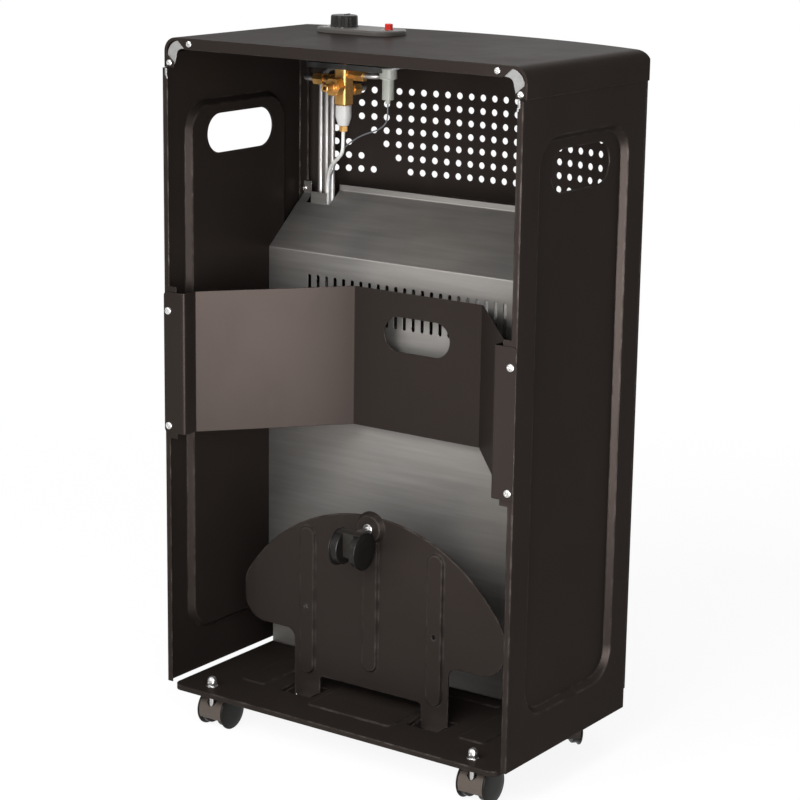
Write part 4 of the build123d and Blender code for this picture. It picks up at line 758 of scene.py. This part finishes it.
class HEATER_OT_mouldings(bpy.types.Operator):
    """Finish the plastic, sleeved and ceramic pieces"""

    bl_idname = "heater.mouldings"
    bl_label = "Plastics and ceramics"

    def execute(self, context):
        colours = context.scene.heater_colours
        # painted light: lighter copy of the wheels' plastic, standing in for the lit hood barrels
        moulded("castor_plastic", tuple(colours.hood), 0.36, gloss=0.15)
        moulded("castor_wheel", tuple(colours.castor), 0.32, 0.4, gloss=0.12)
        moulded("platform_plastic", scaled(colours.castor, 1.6), 0.34, gloss=0.15)
        dress(moulded("control_plastic", scaled(colours.control, 0.75), 0.42, 1.3), "control_knob")
        dress(moulded("bezel_plastic", scaled(colours.control, 5.0), 0.46, 1.3), "control_bezel")
        dress(moulded("button_plastic", tuple(colours.button), 0.25, 0.3), "igniter_button")
        dress(moulded("igniter_plastic", tuple(colours.igniter), 0.40, 0.6), "piezo_igniter")
        dress(
            pierced_ceramic("plaque_ceramic", tuple(colours.ceramic), (0.50, 0.32, 0.18)),
            "ceramic_plaque_left",
            "ceramic_plaque_middle",
            "ceramic_plaque_right",
        )
        dress(glazed("electrode_ceramic", (0.78, 0.76, 0.72)), "ignition_electrode")
        return {"FINISHED"}


class HEATER_OT_leads(bpy.types.Operator):
    """Lay the thermocouple's white lead and the grey ignition wire, and fit the magnet's sleeve"""

    bl_idname = "heater.leads"
    bl_label = "Leads"

    def execute(self, context):
        colours = context.scene.heater_colours
        sizes = context.scene.heater_sizes
        rows = (
            ("white_lead", "thermocouple_lead", sizes.white_lead, colours.lead, WHITE_ROUTE),
            ("grey_lead", "ignition_wire", sizes.grey_wire, colours.wire, GREY_ROUTE),
        )
        for slot, node, thickness, tint, route in rows:
            piece = Piece(node + "_run")
            form = swept([at(*spot) for spot in route], thickness / 2)
            piece.add(form, Matrix.Identity(4))
            form.free()
            piece.make("cabinet", sleeved_wire(slot, tuple(tint), 0.40), slot, node, smooth=70)
        outline = [(0, 0), (5.4, 0), (7.6, 6.6), (8.2, 9.4), (8.2, 20.4), (7.8, 20.9), (0, 20.9)]
        sleeve = turned(outline, 48)
        piece = Piece("magnet_sleeve")
        piece.add(sleeve, facing(at(CONTROL_X, CONTROL_DEPTH, SLEEVE_FOOT), UPWARD))
        sleeve.free()
        white = moulded("white_plastic", tuple(colours.sleeve), 0.38, 0.6)
        piece.make("cabinet", white, "white_plastic", "magnet_unit")
        return {"FINISHED"}


class HEATER_OT_screws(bpy.types.Operator):
    """Fit the pan-head screws of the cover, strap and shield"""

    bl_idname = "heater.screws"
    bl_label = "Screws"

    def execute(self, context):
        colours = context.scene.heater_colours
        sizes = context.scene.heater_sizes
        bright = plated("screw_zinc", scaled(colours.zinc, 1.2), 0.26)
        rows = (
            # name, node, head diameter and height, seat's depth, places, shank's reach
            ("cover_pan_screws", "cover_screws", sizes.cover_screw, 1.9, 4.0, COVER_SCREWS, 2.6),
            ("strap_pan_screws", "strap_screws", sizes.strap_screw, 2.4, -1.0, STRAP_SCREWS, 6.0),
            ("shield_pan_screws", "shield_screws", sizes.shield_screw, 1.8, 219.0,
             SHIELD_SCREWS, 2.0),
        )
        for name, node, diameter, height, depth, places, reach in rows:
            recess = sizes.recess / MILLIMETRE * min(1.0, diameter / sizes.strap_screw)
            form = screw_form(diameter / 2 / MILLIMETRE, height, recess, SCREW_SHANK, reach)
            piece = Piece(name)
            spots = [(hand * x, up) for hand in (1, -1) for x, up in places]
            for (across, up), turn in zip(spots, SCREW_TURNS):
                piece.add(form, facing(at(across, depth, up), REARWARD, turn))
            form.free()
            piece.make("cabinet", bright, "zinc", node)
        return {"FINISHED"}


class HEATER_OT_castors(bpy.types.Operator):
    """Build the castors: domed wheels, barrel hoods, stems and flanged cap nuts"""

    bl_idname = "heater.castors"
    bl_label = "Castors"

    def execute(self, context):
        sizes = context.scene.heater_sizes
        disc, axle = self.disc(), turned([(0, -7.2), (2, -7.2), (2, 7.2), (0, 7.2)], 16)
        hood, stem = self.hood(sizes.barrel / MILLIMETRE), self.stem()
        joints = {joint["child"]: joint for joint in frame["joints"]}
        stems = Piece("castor_pins")
        for name, node in list(frame["nodes"].items()):
            if not name.startswith("castor_wheels_"):
                continue
            corner = name.replace("castor_wheels_", "")
            holder = frame["nodes"]["castor_hood_" + corner]["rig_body"]
            low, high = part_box(name)
            middle = (low + high) / 2
            stand = Vector(joints[holder]["pos_m"])
            seat = -REARWARD if corner == "platform" else UPWARD
            offset = middle - stand
            trail = (offset - seat * offset.dot(seat)).normalized()
            across = seat.cross(trail)
            discs = Piece("wheel_discs_" + corner)
            for side in (across, -across):
                discs.add(disc, facing(middle, side))
            discs.add(axle, facing(middle, across))
            discs.make(node["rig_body"], made_finish("castor_wheel"), "castor_wheel", name)
            turn = Matrix((trail, across, seat)).transposed().to_4x4()
            shell = Piece("castor_barrel_" + corner)
            shell.add(hood, Matrix.Translation(middle) @ turn @ Matrix.Scale(MILLIMETRE, 4))
            plastic = "platform_plastic" if corner == "platform" else "castor_plastic"
            shell.make(holder, made_finish(plastic), "castor_plastic", "castor_hood_" + corner)
            if corner == "platform":
                pin = Piece("platform_pin")
                pin.add(stem, facing(stand, -seat))
                pin.make("platform", made_finish("stem_chrome"), "stem_chrome", "platform_stem")
            else:
                stems.add(stem, facing(stand, -seat))
        stems.make("cabinet", made_finish("stem_chrome"), "stem_chrome", "castor_stems")
        for form in (disc, axle, hood, stem):
            form.free()
        self.nuts(sizes.nut_flange / MILLIMETRE / 2)
        return {"FINISHED"}

    def disc(self):
        """Wheel about Z: tread under the hood, rim and domed outer face."""
        tread = [(0, 7.1), (16.0, 7.1), (16.8, 7.9), (16.8, 14.3), (18.4, 14.5)]
        rim = [(19.0, 15.0), (19.0, 15.7), (18.5, 16.1), (18.0, 15.85), (17.4, 16.1)]
        return turned(tread + rim + [(14.0, 16.7), (8.0, 17.0), (0, 17.1)], 64)

    def hood(self, radius):
        """Hood over both treads with a web between them: trail along X, axle along Y."""
        turns = range(*HOOD_ARC)
        shell = [self.spot(radius, turn) for turn in turns]
        shell += [self.spot(radius - HOOD_WALL, turn) for turn in reversed(turns)]
        web = [self.spot(radius - WEB_INSET, turn) for turn in turns] + [(8.0, -6.0)]
        outer = sheet([(x, -HOOD_HALF, z) for x, z in shell], (0, 2 * HOOD_HALF, 0))
        inner = sheet([(x, -WEB_HALF, z) for x, z in web], (0, 2 * WEB_HALF, 0))
        bore = turned([(0, -1), (3.2, -1), (3.2, 7), (5.6, 10), (5.6, 30), (0, 30)], 32)
        bmesh.ops.translate(bore, verts=bore.verts, vec=(-STEM_TRAIL, 0, 0))
        sleeve = turned([(0, -20), (2.4, -20), (2.4, 20), (0, 20)], 24)
        bmesh.ops.rotate(sleeve, verts=sleeve.verts, matrix=Matrix.Rotation(radians(90), 3, "X"))
        made = less(outer, bore.copy())
        made_web = less(less(inner, bore), sleeve)
        part = bpy.data.meshes.new("web")
        made_web.to_mesh(part)
        made_web.free()
        made.from_mesh(part)
        bpy.data.meshes.remove(part)
        return made

    def spot(self, radius, turn):
        """Trail and height of a point on an arc about the axle."""
        return radius * cos(radians(turn)), radius * sin(radians(turn))

    def stem(self):
        """Castor stem from its collar on the base down into the hood; Z points down."""
        collar = [(0, 0), (5.4, 0), (5.4, 1.5), (4.9, 2.0)]
        return turned(collar + [(2.7, 2.0), (2.7, 25.2), (2.2, 25.8), (0, 25.8)], 32)

    def nuts(self, flange):
        """Acorn nuts with a flange, over the castors' stems."""
        foot = turned([(0, 0), (flange, 0), (flange, 0.8), (flange * 0.86, 1.5), (0, 1.5)], 40)
        sides = turned([(0, 1.2), (5.5, 1.2), (5.5, 4.4), (4.9, 5.1), (0, 5.1)], 6)
        dome = turned(
            [(0, 4.4), (4.9, 4.4), (4.85, 6.0), (4.3, 8.2), (3.1, 9.9), (1.6, 10.8), (0, 11.0)], 40
        )
        piece = Piece("acorn_nuts")
        for hand in (1, -1):
            for depth in CASTOR_DEPTHS:
                for form in (foot, sides, dome):
                    piece.add(form, facing(at(hand * CASTOR_X, depth, 0), UPWARD, 20))
        for form in (foot, sides, dome):
            form.free()
        piece.make("cabinet", made_finish("stem_chrome"), "stem_chrome", "dome_nuts")


class HEATER_OT_corner_trim(bpy.types.Operator):
    """Fit the crescent gussets under the cover's corners, their clips, and a dark sheet under the
    base that stands in for the shade seen through the leg slots
    """

    bl_idname = "heater.corner_trim"
    bl_label = "Corner trim"

    def execute(self, context):
        colours = context.scene.heater_colours
        pale = plated("gusset_zinc", scaled(colours.zinc, 0.62), 0.42)
        gussets, clips = Piece("crescent_gussets"), Piece("edge_clips")
        outline = [(30, 9.5), (30, 8.7), (22, 2.7)]
        outline += [self.swing(19.0, 18.4, 15.8, turn) for turn in range(80, -1, -10)]
        outline += [(3.3, 21.0), (5.5, 29), (8.5, 29.5), (12.5, 24.7)]
        outline += [self.swing(22.0, 18.0, 7.6, turn) for turn in range(0, 91, 15)]
        for hand in (1, -1):
            spots = [
                at(hand * (CASING_HALF - inset), 5.0, CASING_TOP - down) for inset, down in outline
            ]
            gussets.add(sheet(spots, REARWARD * -MILLIMETRE), Matrix.Identity(4))
            plate = block(2.4, 7.0, 0.6, 0.2)
            clips.add(plate, facing(at(hand * 204.6, 0, 632.5), REARWARD))
            tongue = block(1.6, 4.0, 0.6, 0.2)
            clips.add(tongue, facing(at(hand * 203.4, -0.2, 627.8), REARWARD, hand * 12))
        gussets.make("cabinet", pale, "zinc", "corner_gussets")
        clips.make("cabinet", pale, "zinc")
        # painted shade: a dark painted sheet standing in for the shadow under the cabinet, seen
        # through the leg slots
        shade_sheet_piece = Piece("base_stiffener")
        shade_sheet_piece.add(block(*SHADE_SHEET, 0.3), facing(at(*SHADE_SHEET_PLACE), UPWARD))
        shade_sheet_piece.make("cabinet", made_finish("casing_paint"), "casing_paint")
        return {"FINISHED"}

    def swing(self, inset, down, radius, turn):
        """Point of an arc that opens towards the cover's corner."""
        return inset - radius * cos(radians(turn)), down - radius * sin(radians(turn))


class HEATER_OT_dial(bpy.types.Operator):
    """Print the dial's ticks and digits and fit the knob's pointer line"""

    bl_idname = "heater.dial"
    bl_label = "Dial"

    def execute(self, context):
        colours = context.scene.heater_colours
        sizes = context.scene.heater_sizes
        print_finish = moulded("dial_print", tuple(colours.marking), 0.5, 0.3, 0.0001)
        marks = Piece("dial_marks")
        width = sizes.mark / MILLIMETRE
        tick = block(width, 1.8, PRINT)
        long_tick = block(width, 2.6, PRINT)
        centre = at(CONTROL_X, CONTROL_DEPTH, BEZEL_TOP)
        for step in range(DIAL_TICKS):
            turn = DIAL_START + step * DIAL_STEP
            form, radius = (tick, 16.5) if step % DIGIT_EVERY else (long_tick, 16.9)
            spot = centre + self.outward(turn) * radius * MILLIMETRE
            marks.add(form, facing(spot, UPWARD, turn - 90))
        height = sizes.digit / MILLIMETRE * 0.72
        for index in range(DIAL_TICKS // DIGIT_EVERY + 1):
            turn = DIAL_START + index * DIGIT_EVERY * DIAL_STEP
            spot = centre + self.outward(turn) * DIGIT_RADIUS * MILLIMETRE
            marks.add(digit_form(str(index), height), facing(spot, UPWARD, 180))
        # a ring of short rays round the igniter's button
        button = at(BUTTON_X, CONTROL_DEPTH, BEZEL_TOP)
        ray = block(width, 1.6, PRINT)
        for turn in range(0, 360, 45):
            spot = button + self.outward(turn) * RAY_RADIUS * MILLIMETRE
            marks.add(ray, facing(spot, UPWARD, turn - 90))
        for form in (tick, long_tick, ray):
            form.free()
        marks.make("cabinet", print_finish, "control_plastic")
        pointer = Piece("knob_pointer")
        line = block(1.2, 8.0, 0.25, 0.1)
        knob_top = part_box("control_knob")[1].z
        spot = at(CONTROL_X, CONTROL_DEPTH + 5, 0)
        spot.z = knob_top - 0.05 * MILLIMETRE
        pointer.add(line, facing(spot, UPWARD))
        line.free()
        pointer.make("knob", print_finish, "control_plastic")
        return {"FINISHED"}

    def outward(self, turn):
        """Level direction at an angle in degrees."""
        return Vector((cos(radians(turn)), sin(radians(turn)), 0))


class HEATER_OT_stage(bpy.types.Operator):
    """Set the floor, the background, the lamps and the camera"""

    bl_idname = "heater.stage"
    bl_label = "Stage"

    def execute(self, context):
        stage = context.scene.heater_stage
        self.floor(stage)
        self.background(stage)
        self.lamps(stage)
        self.camera(stage)
        return {"FINISHED"}

    def floor(self, stage):
        """Wide pale floor that keeps the object's shadow."""
        form = bmesh.new()
        bmesh.ops.create_grid(form, x_segments=4, y_segments=4, size=40)
        mesh = bpy.data.meshes.new("floor")
        form.to_mesh(mesh)
        form.free()
        pale = Finish("floor")
        seen = self.seen(pale)
        matt = pale.node(
            "ShaderNodeBsdfDiffuse", {}, {"Color": (*tuple(stage.floor), 1.0), "Roughness": 0.5}
        )
        bright = pale.node(
            "ShaderNodeEmission", {}, {"Color": (1, 1, 1, 1), "Strength": stage.background}
        )
        reach = pale.node(
            "ShaderNodeVectorMath", {"operation": "LENGTH"}, {0: pale.place()}, 1
        )
        share = pale.between(reach, SHADOW_REACH, SHADOW_REACH * 2, SHADOW_SHARE, 1.0)
        both = pale.node("ShaderNodeMixShader", {}, {0: seen * share, 1: matt, 2: bright})
        pale.node("ShaderNodeOutputMaterial", {}, {"Surface": both})
        mesh.materials.append(pale.material)
        made = bpy.data.objects.new("floor", mesh)
        bpy.context.scene.collection.objects.link(made)

    def seen(self, finish):
        """1 for the rays by which the camera, gloss and glass see the background."""
        rays = finish.node("ShaderNodeLightPath").socket.node.outputs
        names = ("Is Camera Ray", "Is Glossy Ray", "Is Transmission Ray")
        camera, glossy, through = [Value(finish, rays[name]) for name in names]
        return finish.between(camera + glossy + through, 0.0, 1.0)

    def background(self, stage):
        """White to the camera and in reflections, a soft even light for the rest."""
        world = bpy.data.worlds.new("studio")
        bpy.context.scene.world = world
        world.use_nodes = True
        sky = Finish("studio", world.node_tree)
        soft = sky.node(
            "ShaderNodeBackground", {}, {"Color": (1, 1, 1, 1), "Strength": stage.ambient}
        )
        white = sky.node(
            "ShaderNodeBackground", {}, {"Color": (1, 1, 1, 1), "Strength": stage.background}
        )
        both = sky.node("ShaderNodeMixShader", {}, {0: self.seen(sky), 1: soft, 2: white})
        sky.node("ShaderNodeOutputWorld", {}, {"Surface": both})

    def lamps(self, stage):
        """Softboxes at the open side, beside the camera, overhead and from the front."""
        rows = (
            # name, power, place, width, height
            ("key_lamp", stage.key, (-0.84, 0.60, 0.38), 0.60, 0.74),
            ("open_side_lamp", stage.open_side, (0.5, 2.4, 1.75), 1.3, 1.0),
            ("rear_lamp", stage.rear, (-0.8, 2.3, 1.4), 1.2, 1.0),
            ("inner_lamp", stage.inner, (-0.17, 0.42, 0.42), 0.3, 0.5),
            ("top_lamp", stage.top, (-0.3, 0.2, 2.6), 1.6, 1.4),
            ("fill_lamp", stage.fill, (0.7, -2.4, 1.9), 1.6, 1.4),
        )
        for name, power, place, across, up in rows:
            lamp = bpy.data.lights.new(name, "AREA")
            lamp.shape = "RECTANGLE"
            lamp.size = across
            lamp.size_y = up
            lamp.energy = power
            made = bpy.data.objects.new(name, lamp)
            made.location = place
            made.rotation_euler = (LAMP_TARGET - Vector(place)).to_track_quat("-Z", "Y").to_euler()
            made.visible_camera = False
            made.visible_diffuse = name != "key_lamp"
            made.visible_glossy = name not in ("inner_lamp", "rear_lamp")
            bpy.context.scene.collection.objects.link(made)

    def camera(self, stage):
        """Camera at the photograph's view of the open rear."""
        yaw, pitch, roll = [radians(turn) for turn in CAMERA_TURN]
        forward = Vector((sin(yaw) * cos(pitch), -cos(yaw) * cos(pitch), -sin(pitch)))
        right = Vector((-cos(yaw), -sin(yaw), 0))
        up = right.cross(forward)
        tilted_right = right * cos(roll) + up * sin(roll)
        tilted_up = up * cos(roll) - right * sin(roll)
        view = bpy.data.cameras.new("camera")
        view.lens = stage.lens
        view.sensor_width = 36
        view.clip_start = 0.05
        view.clip_end = 100
        made = bpy.data.objects.new("camera", view)
        turn = Matrix((tilted_right, tilted_up, -forward)).transposed().to_4x4()
        made.matrix_world = Matrix.Translation(CAMERA_PLACE) @ turn
        bpy.context.scene.collection.objects.link(made)
        bpy.context.scene.camera = made
        bpy.context.scene.view_settings.view_transform = "Standard"


class HEATER_PT_panel(bpy.types.Panel):
    """Sidebar panel of the heater's settings and operators"""

    bl_idname = "HEATER_PT_panel"
    bl_label = "Gas cabinet heater"
    bl_space_type = "VIEW_3D"
    bl_region_type = "UI"
    bl_category = "Heater"

    def draw(self, context):
        scene = context.scene
        for settings in (scene.heater_colours, scene.heater_sizes, scene.heater_stage):
            column = self.layout.column(align=True)
            for name in type(settings).__annotations__:
                column.prop(settings, name)
        column = self.layout.column(align=True)
        for operator in OPERATORS:
            column.operator(operator.bl_idname)


OPERATORS = (
    HEATER_OT_sheet_metal,
    HEATER_OT_bare_metal,
    HEATER_OT_mouldings,
    HEATER_OT_leads,
    HEATER_OT_screws,
    HEATER_OT_castors,
    HEATER_OT_corner_trim,
    HEATER_OT_dial,
    HEATER_OT_stage,
)
CLASSES = (HeaterColours, HeaterSizes, HeaterStage, *OPERATORS, HEATER_PT_panel)


def register():
    for made in CLASSES:
        bpy.utils.register_class(made)
    bpy.types.Scene.heater_colours = PointerProperty(type=HeaterColours)
    bpy.types.Scene.heater_sizes = PointerProperty(type=HeaterSizes)
    bpy.types.Scene.heater_stage = PointerProperty(type=HeaterStage)


def unregister():
    del bpy.types.Scene.heater_colours
    del bpy.types.Scene.heater_sizes
    del bpy.types.Scene.heater_stage
    for made in reversed(CLASSES):
        bpy.utils.unregister_class(made)


def main():
    """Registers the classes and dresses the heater."""
    register()
    for operator in OPERATORS:
        group, name = operator.bl_idname.split(".")
        getattr(getattr(bpy.ops, group), name)()


if __name__ == "__main__":
    main()
